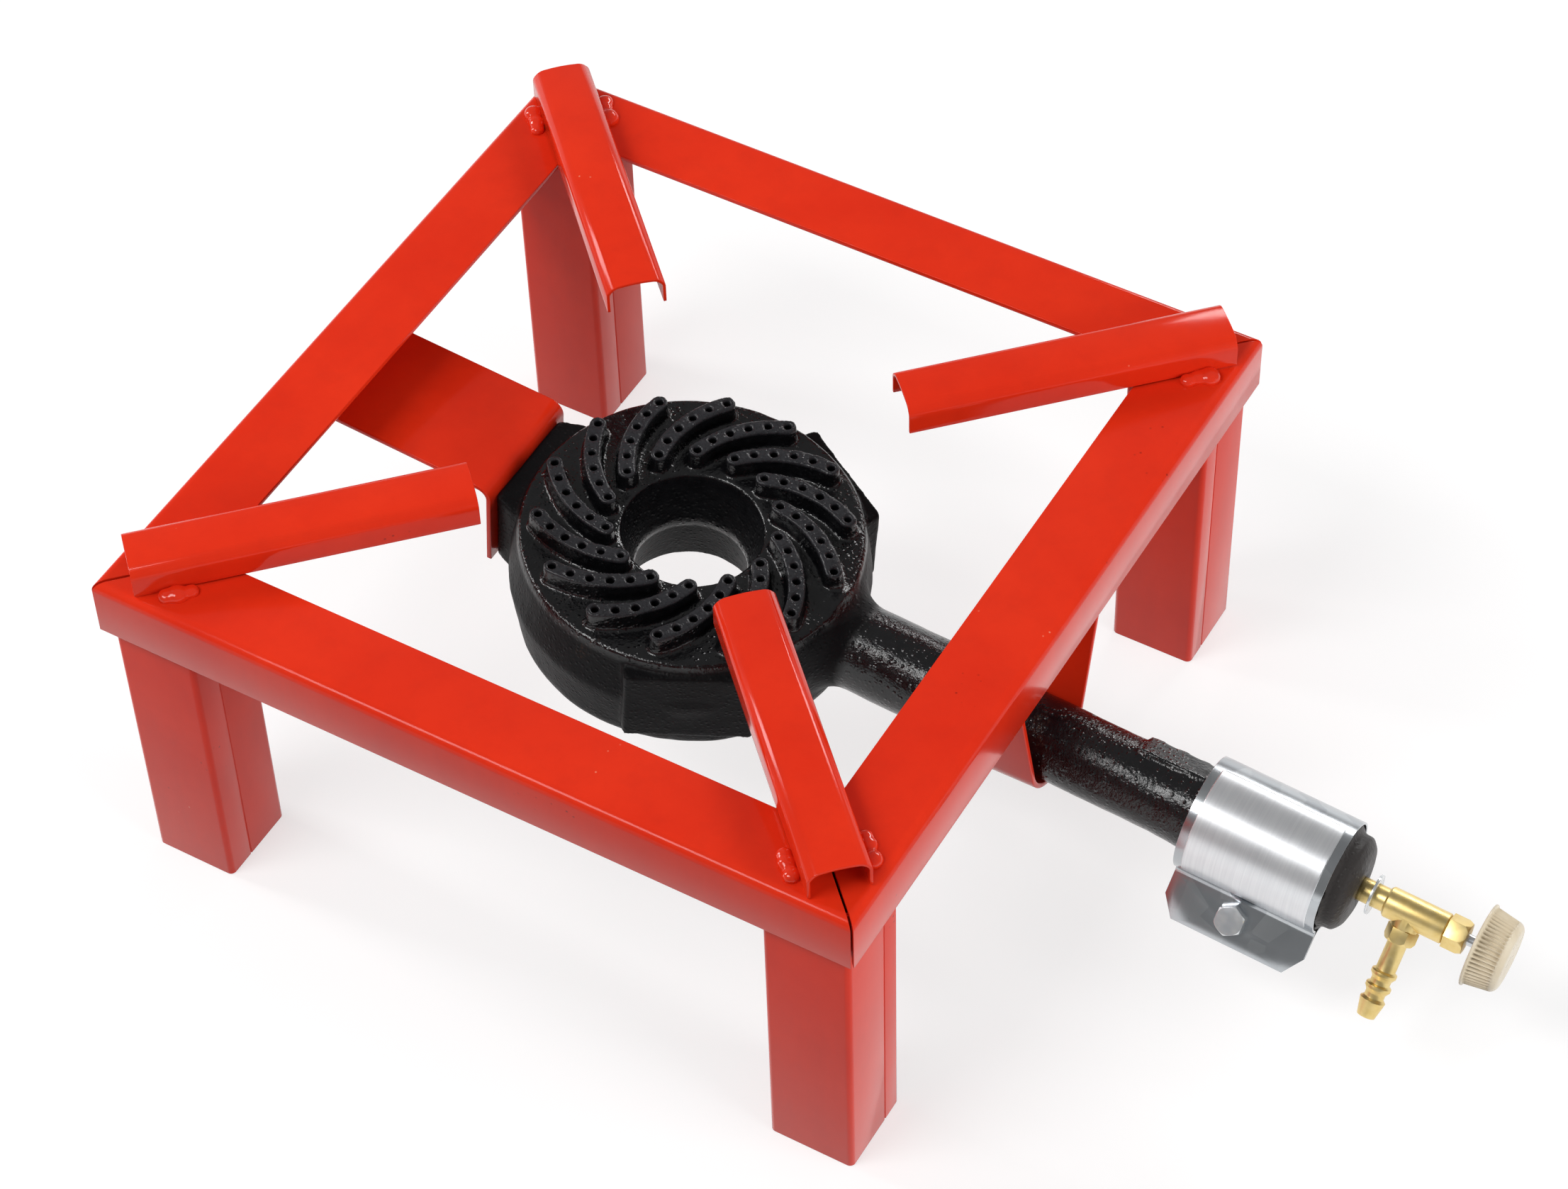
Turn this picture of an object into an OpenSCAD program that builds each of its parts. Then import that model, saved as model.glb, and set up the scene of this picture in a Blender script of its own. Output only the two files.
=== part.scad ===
// Low single burner gas stove: a square angle frame on four tube legs, four channel pan
// supports, and a cast iron ring burner whose mixing tube ends in an air shutter and a valve.
// Millimetres. X runs along the mixing tube towards the knob, Z is up, and the origin is on
// the floor under the middle of the frame.

/* [Frame] */
// Outside width and depth of the square top frame
frame_side = 300; // [290:1:320]
// Height of the frame's top face above the floor
frame_top = 145; // [130:1:170]
// Width of a rail's top web
rail_web = 30; // [28:1:36]
// Height of a rail's outer flange
rail_flange = 23.5; // [20:0.5:27]
// Thickness of the rail sheet
rail_t = 2; // [1.5:0.1:2.5]
// Outside radius of the rail's bend
rail_bend = 4; // [3:0.5:6]
// Slit left open where two rails are mitred
mitre_gap = 0.9; // [0.3:0.1:1.2]

/* [Legs] */
// Outside width of the square leg tube
leg_w = 33; // [28:1:36]
// Wall of the leg tube
leg_wall = 1.5; // [1:0.1:2.5]
// Outside corner radius of the leg tube
leg_corner = 2.2; // [1:0.1:4]
// Gap between a rail's flange and the leg behind it
leg_gap = 1.5; // [0.3:0.1:3]
// Width of the tube's welded seam
seam_w = 0.7; // [0.4:0.1:1.2]
// Depth of the tube's welded seam
seam_depth = 0.25; // [0.1:0.05:0.5]

/* [Pan supports] */
// Length of a support channel
support_len = 121; // [105:1:125]
// Distance of a support's inner end from the middle of the stove
support_start = 77; // [70:1:85]
// Width of a support channel
support_w = 22; // [18:1:26]
// Height of a support channel
support_h = 12.4; // [9:0.1:15]
// Sheet of a support channel
support_t = 1.2; // [1:0.1:2]
// Outside radius of the channel's bends
support_bend = 4.4; // [3:0.1:5]
// Radius of the channel's slightly crowned web
support_crown = 50; // [35:1:90]
// Gap under a channel's flanges, which the weld beads bridge
support_gap = 0.6; // [0.3:0.1:1]

/* [Weld beads] */
// Radius of a bead on a support
bead_r = 3; // [2:0.1:4]
// Distance from one lump of such a bead to the next
bead_step = 4.2; // [3:0.1:5]
// Distance of the support beads from the middle of the stove
bead_at = 184; // [180:1:188]
// Radius of the beads that hold the rear bracket and the tube cradle
hanger_bead_r = 2.4; // [2:0.1:3]
// Straight length of those beads
hanger_bead_len = 12; // [6:1:16]
// Distance of the rear beads' middle inside the bracket's edges
hanger_bead_in = 10; // [8:1:12]

/* [Burner ring] */
// Depth of the burner's middle plane below the frame's top face
burner_drop = 58.2; // [55:0.1:62]
// Tilt of the whole casting, down towards the knob
burner_tilt = 4.5; // [3:0.5:6]
// Distance of the ring's axis behind the middle of the stove
ring_back = 2; // [0:0.5:5]
// Largest radius of the ring, at its parting line
ring_r = 65.8; // [62:0.1:68]
// Draft of the ring's wall, as the radius lost from parting line to top and bottom
ring_draft = 3.5; // [2:0.1:5]
// Height of the ring's top face above the parting line
ring_top = 20.5; // [18:0.5:23]
// Depth of the ring's bottom face below the parting line
ring_bottom = 24; // [22:0.5:27]
// Rounding of the ring's bottom edge
ring_round = 3.5; // [2:0.1:5]
// Radius of the centre hole at its narrow waist
hole_waist = 20.2; // [18:0.1:22]
// Radius of the centre hole at the top and bottom faces
hole_mouth = 25.7; // [24:0.1:27]
// Wall of the casting round the gas gallery
cast_wall = 4.6; // [4:0.1:5.5]

/* [Flame vanes] */
// Number of curved flame vanes
vane_count = 14; // [10:1:16]
// Height of a vane above the ring's top face
vane_h = 7.5; // [5:0.5:9]
// Width of a vane's flat top
vane_w = 6; // [5:0.1:7]
// Draft of a vane's side, from top to root
vane_draft = 0.5; // [0.2:0.1:0.8]
// Radius of the arc that a vane follows
vane_arc_r = 41.4; // [40:0.1:43]
// Distance of that arc's centre from the ring's axis
vane_arc_out = 30.5; // [29:0.1:32]
// Direction of the first vane's arc centre
vane_turn = 162.9; // [0:0.1:180]
// Gas ports along one vane
port_count = 6; // [4:1:6]
// Distance of the outermost port inside the ring's largest radius
port_edge = 10.7; // [9:0.1:13]
// Distance of the innermost port outside the centre hole's mouth
port_inner = 5.8; // [5:0.1:8]
// Diameter of a gas port
port_d = 3; // [2:0.1:3.4]

/* [Burner lug and pads] */
// How far the rear lug's flat face stands out beyond the ring
lug_proud = 3.7; // [3:0.1:6]
// Half width of the rear lug at its face
lug_half = 20.5; // [18:0.1:22]
// Height of the lug's and the pads' top above the parting line
lug_top = 16.5; // [13:0.1:18]
// Depth of the lug's and the pads' underside below the parting line
lug_bottom = 16; // [14:0.1:19]
// Depth of a side pad's flat face inside the ring's largest radius
pad_in = 0.8; // [0.3:0.1:2]
// Half width of a side pad
pad_half = 22; // [18:0.1:24]

/* [Mixing tube] */
// Distance from the middle of the stove to the casting's front end
nose_at = 265.4; // [262:0.1:275]
// Radius of the tube where it leaves the ring
tube_root_r = 16; // [15:0.1:17]
// Radius of the tube along its throat
tube_r = 14.3; // [13.5:0.1:15]
// Radius of the gas passage in the throat
throat_r = 10; // [8:0.1:11]
// Radius of the nose that carries the valve
nose_r = 17.5; // [15:0.1:18.5]
// Wall of the bell inside the air shutter
bell_wall = 3.6; // [3:0.1:5]
// Length of the air windows in the bell
window_len = 29; // [20:1:32]
// Height of the air windows in the bell
window_h = 22; // [16:1:26]
// Length of the raised blank pad on the tube
cast_pad_len = 27; // [15:1:30]
// Width of the raised blank pad on the tube
cast_pad_w = 13; // [8:1:15]
// Roll of that pad from the top towards the right side
cast_pad_roll = 28; // [0:1:40]
// Length of the nose in front of the air windows
nose_len = 8.4; // [7:0.1:9]

/* [Hangers] */
// Sheet of the rear bracket and the tube cradle
strap_t = 2; // [1.5:0.1:3]
// Outside radius of the rear bracket's bend
bracket_bend = 5.5; // [4:0.5:8]
// Width of the rear bracket
bracket_w = 50; // [44:1:60]
// Step from the rear rail's lower edge down to the bracket, filled by the weld
bracket_step = 1.2; // [0.3:0.1:2]
// Thread diameter of the bolt that holds the burner to the bracket
lug_bolt_d = 8; // [6:1:8]
// Depth of that bolt's thread in the lug
lug_bolt_depth = 6.5; // [5:0.1:7]
// Height of that bolt's head
lug_head_h = 5.3; // [4:0.1:6.5]
// Thickness of the washer under it
lug_washer_t = 1.6; // [1:0.1:2]
// Width of the tube cradle along the tube
cradle_w = 26; // [20:1:27]
// Inside radius of the tube cradle
cradle_r = 17.5; // [17:0.1:19]
// Splay of the cradle's arms
cradle_splay = 13; // [8:1:16]
// Distance of the cradle's front edge behind the front rail's outer face
cradle_back = 2.5; // [2.5:0.1:5]

/* [Air shutter] */
// Length of the air shutter
shutter_len = 53.5; // [48:0.5:56]
// Outside radius of the air shutter
shutter_r = 21; // [20:0.1:23]
// Sheet of the air shutter
shutter_t = 0.8; // [0.6:0.1:1.2]
// Distance of the shutter's front edge behind the casting's front end
shutter_back = 7.9; // [6:0.1:10]
// Angle of the shutter's ears below the side of the stove
ear_roll = 48; // [30:1:60]
// Reach of the ears from the tube's axis
ear_reach = 39; // [37:0.5:42]
// Gap between the two ears
ear_gap = 0.6; // [0.3:0.1:1.5]
// Bend radius at the ears' root
ear_bend = 2.4; // [1.5:0.1:4]
// Length along the tube of the ears' cut corners
ear_cut_len = 5.3; // [3:0.1:8]
// Reach of the ears' cut corners
ear_cut_reach = 7.5; // [4:0.1:9]
// Thread diameter of the clamp bolt
clamp_d = 6; // [4:1:6]
// Width across flats of the clamp bolt and its nut
clamp_flats = 10; // [9:0.5:11]
// Distance of the clamp bolt behind the casting's front end
clamp_back = 36.4; // [30:0.1:42]
// Distance of the clamp bolt from the tube's axis
clamp_reach = 29.8; // [28:0.1:32]
// Height of the clamp bolt's head
clamp_head_h = 4; // [3:0.1:5]
// Height of the clamp nut
clamp_nut_h = 5; // [4:0.1:6]
// Thread that stands out of the clamp nut
clamp_tail = 2.2; // [1:0.1:4]

/* [Valve] */
// Radius of the valve's threaded neck
neck_r = 4.3; // [4:0.1:5]
// Bare length of the neck in front of the casting
neck_bare = 9.8; // [8:0.1:12]
// Radius of the loose washer on the neck
washer_r = 7.4; // [6.5:0.1:9]
// Thickness of the loose washer
washer_t = 1; // [0.8:0.1:1.5]
// Distance of the washer in front of the casting
washer_at = 4.6; // [3:0.1:6]
// Radius of the valve body
valve_r = 5.6; // [5.4:0.1:6.5]
// Length of the valve body
valve_len = 22.6; // [20:0.1:26]
// Width across flats of the gland nut
gland_flats = 11; // [10.6:0.1:13]
// Length of the gland nut
gland_len = 7.4; // [6.5:0.1:9]
// Radius of the needle's stem
stem_r = 2.1; // [1.8:0.1:2.3]
// Radius of the needle's threaded part
needle_thread_r = 3; // [2.8:0.1:3.3]
// Radius of the valve seat's hole
seat_r = 1.2; // [0.8:0.1:1.5]
// Travel of the needle from shut to fully open
needle_lift = 1.5; // [1:0.1:2]
// Length of the gland's thread on the body
thread_shoulder = 4; // [3:0.1:5]
// Height of the packing in the gland
packing_h = 2.2; // [1.5:0.1:2.5]
// Length of the neck behind the nose's inner face
neck_tail = 6; // [5:0.1:8]
// Length of the jet
jet_len = 15; // [13:0.5:18]
// Width across flats of the jet's hexagon
jet_flats = 9; // [8:0.5:10]

/* [Knob] */
// Gap between the gland nut and the knob when the valve is shut
knob_gap = 3.9; // [3:0.1:6]
// Radius of the knob's thin base rim
knob_rim_r = 15.1; // [14.7:0.1:17]
// Radius of the knob's grip at its base
knob_r = 14.3; // [13.6:0.1:14.6]
// Radius of the knob's grip at its end
knob_end_r = 13; // [12:0.1:13.5]
// Length of the knob
knob_len = 12.2; // [10:0.1:16]
// Number of flutes round the knob
flute_count = 52; // [30:1:60]
// Length of the knob's flutes, up from its rim
flute_len = 8.6; // [6:0.1:10]

/* [Hose tail] */
// Distance of the hose tail's axis in front of the valve body's rear face
branch_at = 9.1; // [8:0.1:12]
// Angle of the hose tail below the side of the stove
branch_roll = 50.5; // [30:0.5:90]
// Width across flats of the hose tail's hexagon
tail_flats = 10; // [9:0.1:10.4]
// Length of the hose tail's hexagon
tail_hex_len = 5.3; // [4:0.1:7]
// Radius of the hose tail's plain stem
tail_stem_r = 3.55; // [3.2:0.05:4]
// Length of the hose tail's plain stem
tail_stem_len = 11; // [8:0.1:14]
// Radius of the hose tail's barbs
barb_r = 4.6; // [4.2:0.1:5.2]
// Length from one barb to the next
barb_step = 5.2; // [4.6:0.1:6]
// Radius of the gas bore through the hose tail
tail_bore_r = 2.2; // [1.8:0.1:2.4]

/* [Fits] */
// Radial clearance of pieces that slide or turn on each other
run_gap = 0.05; // [0.02:0.01:0.1]
// Radial clearance of a bolt in its hole
bolt_gap = 0.3; // [0.2:0.1:0.5]
// Clearance between the tube and the cradle under it
rest_gap = 0.3; // [0.2:0.05:0.5]

/* [Hidden] */
$fn = 64;

enamel = [0.80, 0.17, 0.11];
iron = [0.11, 0.11, 0.12];
zinc = [0.72, 0.73, 0.74];
brass = [0.78, 0.60, 0.24];
weld = [0.70, 0.30, 0.24];
ivory = [0.86, 0.84, 0.79];
graphite = [0.22, 0.22, 0.23];

half = frame_side / 2;
web_under = frame_top - rail_t;
leg_at = half - rail_t - leg_gap - leg_w / 2;
burner_z = frame_top - burner_drop;
over = 1;

// Rear bracket, in the casting's tilted frame
bracket_end = (half - 0.5) / cos(burner_tilt);
bracket_top = (burner_drop - rail_flange - bracket_step - bracket_end * sin(burner_tilt))
    / cos(burner_tilt);
lug_out = ring_r + lug_proud;
lug_face = ring_back + lug_out;

// Cradle, in the stove's frame
cradle_front = half - cradle_back;
tube_under = burner_z - cradle_front * tan(burner_tilt) - tube_r / cos(burner_tilt);
cradle_z = tube_under - rest_gap + cradle_r;
cradle_mid = cradle_front - cradle_w / 2;
cradle_outer = cradle_r + strap_t;
arm_bite = 0.02;

// Half width of the cradle's arms at a height above its centre, on the side with radius r
function arm_x(r, height) = (r - arm_bite + height * sin(cradle_splay)) / cos(cradle_splay);

// Casting, along the tube
throat_end = nose_at - 75;
bell_at = nose_at - 58;
window_front = nose_at - nose_len;
bell_r = shutter_r - shutter_t - run_gap;
bell_bore = bell_r - bell_wall;
shutter_at = nose_at - shutter_back - shutter_len;
ear_half = ear_gap / 2 + shutter_t;
taper_from = nose_at - 167;
taper_to = nose_at - 129;

// Valve, along the tube
body_at = nose_at + neck_bare;
body_end = body_at + valve_len;
gland_at = body_end + 0.2;
gland_end = gland_at + gland_len;
knob_at = gland_end + knob_gap;
gland_thread_r = gland_flats / 2 - 1;
seat_at = body_at + 4;
boss_r = tail_flats / 2 + 0.1;
boss_end = valve_r + 0.5;
jet_thread_r = neck_r - 1.6;
jet_skirt = 7;
neck_bore_r = 1.8;

module casting_frame() {
    translate([0, 0, burner_z]) rotate([0, burner_tilt, 0]) children();
}

// Turns children so that their Z runs along the mixing tube and their X points down
module along_tube(s) {
    casting_frame() translate([s, 0, 0]) rotate([0, 90, 0]) children();
}

// As along_tube, with X turned to a roll below the stove's side
module at_roll(s, roll) {
    along_tube(s) rotate([0, 0, roll - 90]) children();
}

// Rectangle to the right of and below the origin, with its upper left corner rounded
module corner_block(w, h, r) {
    translate([r, -r]) circle(r);
    translate([r, -h]) square([w - r, h]);
    translate([0, -h]) square([w, h - r]);
}

// Bent sheet angle: web to the right of the origin, flange below it
module angle_profile(web, flange, t, bend) {
    difference() {
        corner_block(web, flange, bend);
        translate([t, -t]) corner_block(web, flange, bend - t);
    }
}

module hexagon(flats, h) {
    cylinder(r = flats / 2 / cos(30), h = h, $fn = 6);
}

// Hexagon with its corners turned off at one end or both
module turned_hexagon(flats, h, low, high) {
    corner = flats / 2 / cos(30);
    turn = 0.9 * (corner - flats / 2);
    intersection() {
        hexagon(flats, h);
        union() {
            cylinder(r1 = low ? corner - turn : corner, r2 = corner, h = h / 4);
            translate([0, 0, h / 4]) cylinder(r = corner, h = h / 2);
            translate([0, 0, 3 * h / 4])
                cylinder(r1 = corner, r2 = high ? corner - turn : corner, h = h / 4);
        }
    }
}

// Weld bead along X in the corner between the XY plane and a plane raised by the wedge angle
module bead(r, len, wedge) {
    reach = 3 * r;
    intersection() {
        union() {
            rotate([0, 90, 0]) cylinder(r = r, h = len, center = true);
            for (end = [-1, 1]) translate([end * len / 2, 0, 0]) sphere(r);
        }
        rotate([90, 0, 90]) linear_extrude(len + 2 * r + over, center = true) polygon([
            [0, 0], [reach, 0],
            [reach * cos(wedge / 2), reach * sin(wedge / 2)],
            [reach * cos(wedge), reach * sin(wedge)]
        ]);
    }
}

// Rail on the left side of the stove, turned to its own side
module rail(turn) {
    slit = mitre_gap / sqrt(2);
    color(enamel) rotate([0, 0, turn]) intersection() {
        translate([0, -half, frame_top]) rotate([90, 0, 90])
            linear_extrude(frame_side, center = true)
                angle_profile(rail_web, rail_flange, rail_t, rail_bend);
        translate([0, 0, frame_top - rail_flange - over]) linear_extrude(rail_flange + 2 * over)
            polygon([[0, -slit], [-frame_side, -frame_side - slit], [frame_side, -frame_side - slit]]);
    }
}

module left_rail() { rail(0); }
module front_rail() { rail(90); }
module right_rail() { rail(180); }
module rear_rail() { rail(270); }

module rounded_square(w, r) {
    for (x = [-1, 1], y = [-1, 1]) translate([x * (w / 2 - r), y * (w / 2 - r)]) circle(r);
    square([w, w - 2 * r], center = true);
    square([w - 2 * r, w], center = true);
}

// Leg at one corner, with its seam on the face towards the knob
module leg(x_side, y_side, seam_share) {
    color(enamel) translate([x_side * leg_at, y_side * leg_at, 0]) linear_extrude(web_under)
        difference() {
            rounded_square(leg_w, leg_corner);
            rounded_square(leg_w - 2 * leg_wall, max(leg_corner - leg_wall, 0.4));
            translate([leg_w / 2, (seam_share - 0.5) * leg_w])
                square([2 * seam_depth, seam_w], center = true);
        }
}

module front_left_leg() { leg(1, -1, 0.7); }
module front_right_leg() { leg(1, 1, 0.3); }
module rear_left_leg() { leg(-1, -1, 0.36); }
module rear_right_leg() { leg(-1, 1, 0.36); }

// Outline of a support under a web that is an arc, its bends set so that they meet that arc.
// The inset is 0 for the outside and the sheet's thickness for the inside.
module support_outline(inset) {
    bend_x = support_w / 2 - support_bend;
    reach = support_crown - support_bend;
    bend_y = sqrt(reach * reach - bend_x * bend_x) - support_crown + 0.01;
    web_x = (support_crown - inset) * bend_x / reach;
    intersection() {
        translate([0, -support_crown]) circle(support_crown - inset);
        union() {
            for (side = [-1, 1]) translate([side * bend_x, bend_y]) circle(support_bend - inset);
            translate([-web_x, -support_h - inset]) square([2 * web_x, support_h + inset + over]);
            translate([-support_w / 2 + inset, -support_h - inset])
                square([support_w - 2 * inset, support_h + inset + bend_y]);
        }
    }
}

// Channel along a diagonal of the frame, open side down
module support(turn) {
    color(enamel) rotate([0, 0, turn])
        translate([support_start, 0, frame_top + support_gap + support_h]) rotate([90, 0, 90])
            linear_extrude(support_len) difference() {
                support_outline(0);
                support_outline(support_t);
            }
}

module front_right_support() { support(45); }
module rear_right_support() { support(135); }
module rear_left_support() { support(225); }
module front_left_support() { support(315); }

// Bead of three molten lumps in the corner between the XY plane and the XZ plane
module lumpy_bead() {
    intersection() {
        for (lump = [[-1, 0.94], [0, 1.06], [1, 0.88]])
            translate([lump[0] * bead_step, 0, 0]) sphere(lump[1] * bead_r);
        translate([-3 * bead_r, 0, 0]) cube([6 * bead_r, 2 * bead_r, 2 * bead_r]);
    }
}

// Two beads on each support, in the corner between its flange and the frame's top face
module support_welds() {
    color(weld) for (turn = [45:90:315], side = [0, 1])
        rotate([0, 0, turn]) mirror([0, side, 0])
            translate([bead_at, support_w / 2, frame_top]) lumpy_bead();
}

// Beads that join the rear bracket to the rear rail and the cradle's arms to the front rail
module hanger_welds() {
    color(weld) {
        cut = 20;
        for (side = [-1, 1]) translate([0, side * (bracket_w / 2 - hanger_bead_in), 0]) difference() {
            translate([-half + rail_t, 0, frame_top - rail_flange]) rotate([0, 0, 90]) {
                rotate([0, 90, 0]) cylinder(r = hanger_bead_r, h = hanger_bead_len, center = true);
                for (end = [-1, 1]) translate([end * hanger_bead_len / 2, 0, 0]) sphere(hanger_bead_r);
            }
            translate([-half, -bracket_w, frame_top - rail_flange])
                cube([rail_t, 2 * bracket_w, rail_flange]);
            casting_frame() translate([-bracket_end - 2 * over, -bracket_w, bracket_top - cut])
                cube([cut, 2 * bracket_w, cut]);
            translate([-half - cut + rail_t / 2, -bracket_w, 0]) cube([cut, 2 * bracket_w, frame_top]);
        }
        for (side = [0, 1]) mirror([0, side, 0])
            translate([cradle_mid, arm_x(cradle_outer, web_under - cradle_z), web_under])
                mirror([0, 0, 1])
                    bead(hanger_bead_r, hanger_bead_len, 90 + cradle_splay);
    }
}

// Strap from the rear rail to the burner's lug, parallel to the casting
module rear_bracket() {
    color(enamel) casting_frame() difference() {
        translate([-lug_face, 0, bracket_top]) rotate([90, 0, 180])
            linear_extrude(bracket_w, center = true)
                angle_profile(bracket_end - lug_face, bracket_top + lug_bottom, strap_t, bracket_bend);
        translate([-lug_face - strap_t - over, 0, 0]) rotate([0, 90, 0])
            cylinder(r = lug_bolt_d / 2 + bolt_gap, h = strap_t + 2 * over);
    }
}

module bracket_washer() {
    color(zinc) along_tube(-lug_face - strap_t - lug_washer_t) difference() {
        cylinder(r = lug_bolt_d, h = lug_washer_t);
        translate([0, 0, -over]) cylinder(r = lug_bolt_d / 2 + bolt_gap, h = lug_washer_t + 2 * over);
    }
}

// Hexagon bolt screwed into the burner's lug from behind
module bracket_bolt() {
    under_head = -lug_face - strap_t - lug_washer_t;
    color(zinc) along_tube(under_head) {
        translate([0, 0, -lug_head_h]) turned_hexagon(1.6 * lug_bolt_d, lug_head_h, true, false);
        cylinder(r = lug_bolt_d / 2, h = lug_washer_t + strap_t + lug_bolt_depth - 0.5);
    }
}

// Circle round the origin and the widening space above it, up to a height
module cradle_outline(r, top) {
    foot_x = (r - arm_bite) * cos(cradle_splay);
    foot_y = -(r - arm_bite) * sin(cradle_splay);
    top_x = arm_x(r, top);
    circle(r);
    polygon([[-foot_x, foot_y], [foot_x, foot_y], [top_x, top], [-top_x, top]]);
}

// U strap that hangs from the front rail and carries the mixing tube
module tube_cradle() {
    color(enamel) translate([cradle_front - cradle_w, 0, cradle_z]) rotate([90, 0, 90])
        linear_extrude(cradle_w) difference() {
            cradle_outline(cradle_outer, web_under - cradle_z);
            cradle_outline(cradle_r, web_under - cradle_z + over);
        }
}

// Points of an arc, from one angle to another
function arc_points(cx, cy, r, from, to, steps) =
    [for (i = [0:steps]) let (a = from + (to - from) * i / steps) [cx + r * cos(a), cy + r * sin(a)]];

module ring_solid() {
    low_r = ring_r - ring_draft * (ring_bottom - ring_round) / ring_bottom;
    parting = 0.45;
    edge = 1;
    rotate_extrude($fn = 128) polygon(concat(
        [[0, ring_top], [ring_r - ring_draft - edge, ring_top], [ring_r - ring_draft, ring_top - edge]],
        [[ring_r, parting], [ring_r - parting, 0], [ring_r, -parting]],
        arc_points(low_r - ring_round, -ring_bottom + ring_round, ring_round, 0, -90, 5),
        [[0, -ring_bottom]]
    ));
}

// Hourglass hole through the middle of the ring
module centre_hole() {
    rotate_extrude($fn = 96) polygon([
        [0, ring_top + over], [hole_mouth + over * (hole_mouth - hole_waist) / ring_top, ring_top + over],
        [hole_waist, 0],
        [hole_mouth + over * (hole_mouth - hole_waist) / ring_bottom, -ring_bottom - over],
        [0, -ring_bottom - over]
    ]);
}

// Hollow inside the ring that feeds the ports
module gas_gallery() {
    top = ring_top - cast_wall - 1;
    bottom = -ring_bottom + cast_wall + 1;
    outer = ring_r - ring_draft - cast_wall;
    inner = hole_mouth + cast_wall;
    belly = 6;
    rotate_extrude($fn = 96) polygon([
        [inner, top], [hole_waist + cast_wall, 0], [inner, bottom],
        [outer - 2, bottom], [outer + 1, -belly], [outer + 1, belly], [outer - 1, top]
    ]);
}

// Where the vane's arc is at a distance from the ring's axis
function arc_angle(r) = acos((r * r - vane_arc_out * vane_arc_out - vane_arc_r * vane_arc_r)
    / (2 * vane_arc_out * vane_arc_r));

first_port = arc_angle(ring_r - port_edge);
last_port = arc_angle(hole_mouth + port_inner);

function port_angle(i) = first_port + i * (last_port - first_port) / (port_count - 1);

module at_vane(k) {
    rotate([0, 0, vane_turn - k * 360 / vane_count]) translate([vane_arc_out, 0, 0]) children();
}

// Curved wall that carries one row of ports. It stands too high here, and is cut off level later.
// Its round ends stand a hair proud of it and go deeper into the ring, so that they cross it cleanly.
module vane() {
    grown = 0.02;
    high = vane_w / 2 - vane_draft * over / vane_h;
    low = vane_w / 2 + vane_draft * (1 + over / vane_h);
    rotate([0, 0, first_port]) rotate_extrude(angle = last_port - first_port, $fn = 96) polygon([
        [vane_arc_r - low, ring_top - over], [vane_arc_r + low, ring_top - over],
        [vane_arc_r + high, ring_top + vane_h + over], [vane_arc_r - high, ring_top + vane_h + over]
    ]);
    for (a = [first_port, last_port]) rotate([0, 0, a])
        translate([vane_arc_r, 0, ring_top - 2 * over])
            cylinder(r1 = low + vane_draft * over / vane_h + grown, r2 = high + grown,
                h = vane_h + 3 * over, $fn = 32);
}

module vane_ports() {
    drilled = vane_h + cast_wall + 3;
    for (i = [0:port_count - 1]) rotate([0, 0, port_angle(i)])
        translate([vane_arc_r, 0, ring_top + vane_h + over - drilled])
            cylinder(r = port_d / 2, h = drilled, $fn = 24);
}

// Flat-faced boss on the ring's wall, facing along X
module wall_pad(out, half_w, flare) {
    edge = 1.2;
    deep = out - 8;
    translate([0, 0, -lug_bottom]) linear_extrude(lug_top + lug_bottom) polygon([
        [out, -half_w], [out, half_w], [out - 1, half_w + edge],
        [deep, half_w + flare], [ring_r / 2, half_w + flare],
        [ring_r / 2, -half_w - flare], [deep, -half_w - flare], [out - 1, -half_w - edge]
    ]);
}

// Outside of the mixing tube, its bell and its nose, turned about the tube's axis
module tube_solid() {
    root = ring_r - 6;
    inside = root - 14;
    fillet = 12;
    swell = 1;
    rotate([0, 90, 0]) rotate_extrude($fn = 96) polygon(concat(
        [[0, inside], [tube_root_r + 5, inside]],
        arc_points(tube_root_r + fillet, root + fillet - 2, fillet, 240, 180, 5),
        [
            [tube_root_r, taper_from], [tube_r, taper_to], [tube_r, throat_end],
            [tube_r + swell, bell_at - 4], [tube_r + 1.3 * swell, bell_at],
            [bell_r - 1, bell_at + 1.5], [bell_r, bell_at + 2.5], [bell_r, window_front],
            [nose_r, window_front + 1.5], [nose_r, nose_at - 3.4], [nose_r - 0.8, nose_at - 2.6],
            [nose_r - 2.9, nose_at - 1], [nose_r - 6.5, nose_at], [0, nose_at]
        ]
    ));
}

// Gas passage from the bell through the throat into the gallery
module venturi() {
    rotate([0, 90, 0]) rotate_extrude() polygon([
        [0, hole_mouth + cast_wall + 4], [throat_r + 2, hole_mouth + cast_wall + 4],
        [throat_r + 2, taper_from], [throat_r, taper_to], [throat_r, throat_end],
        [throat_r + 1, bell_at + 3], [bell_bore, bell_at + 12], [bell_bore, window_front],
        [0, window_front]
    ]);
}

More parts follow.
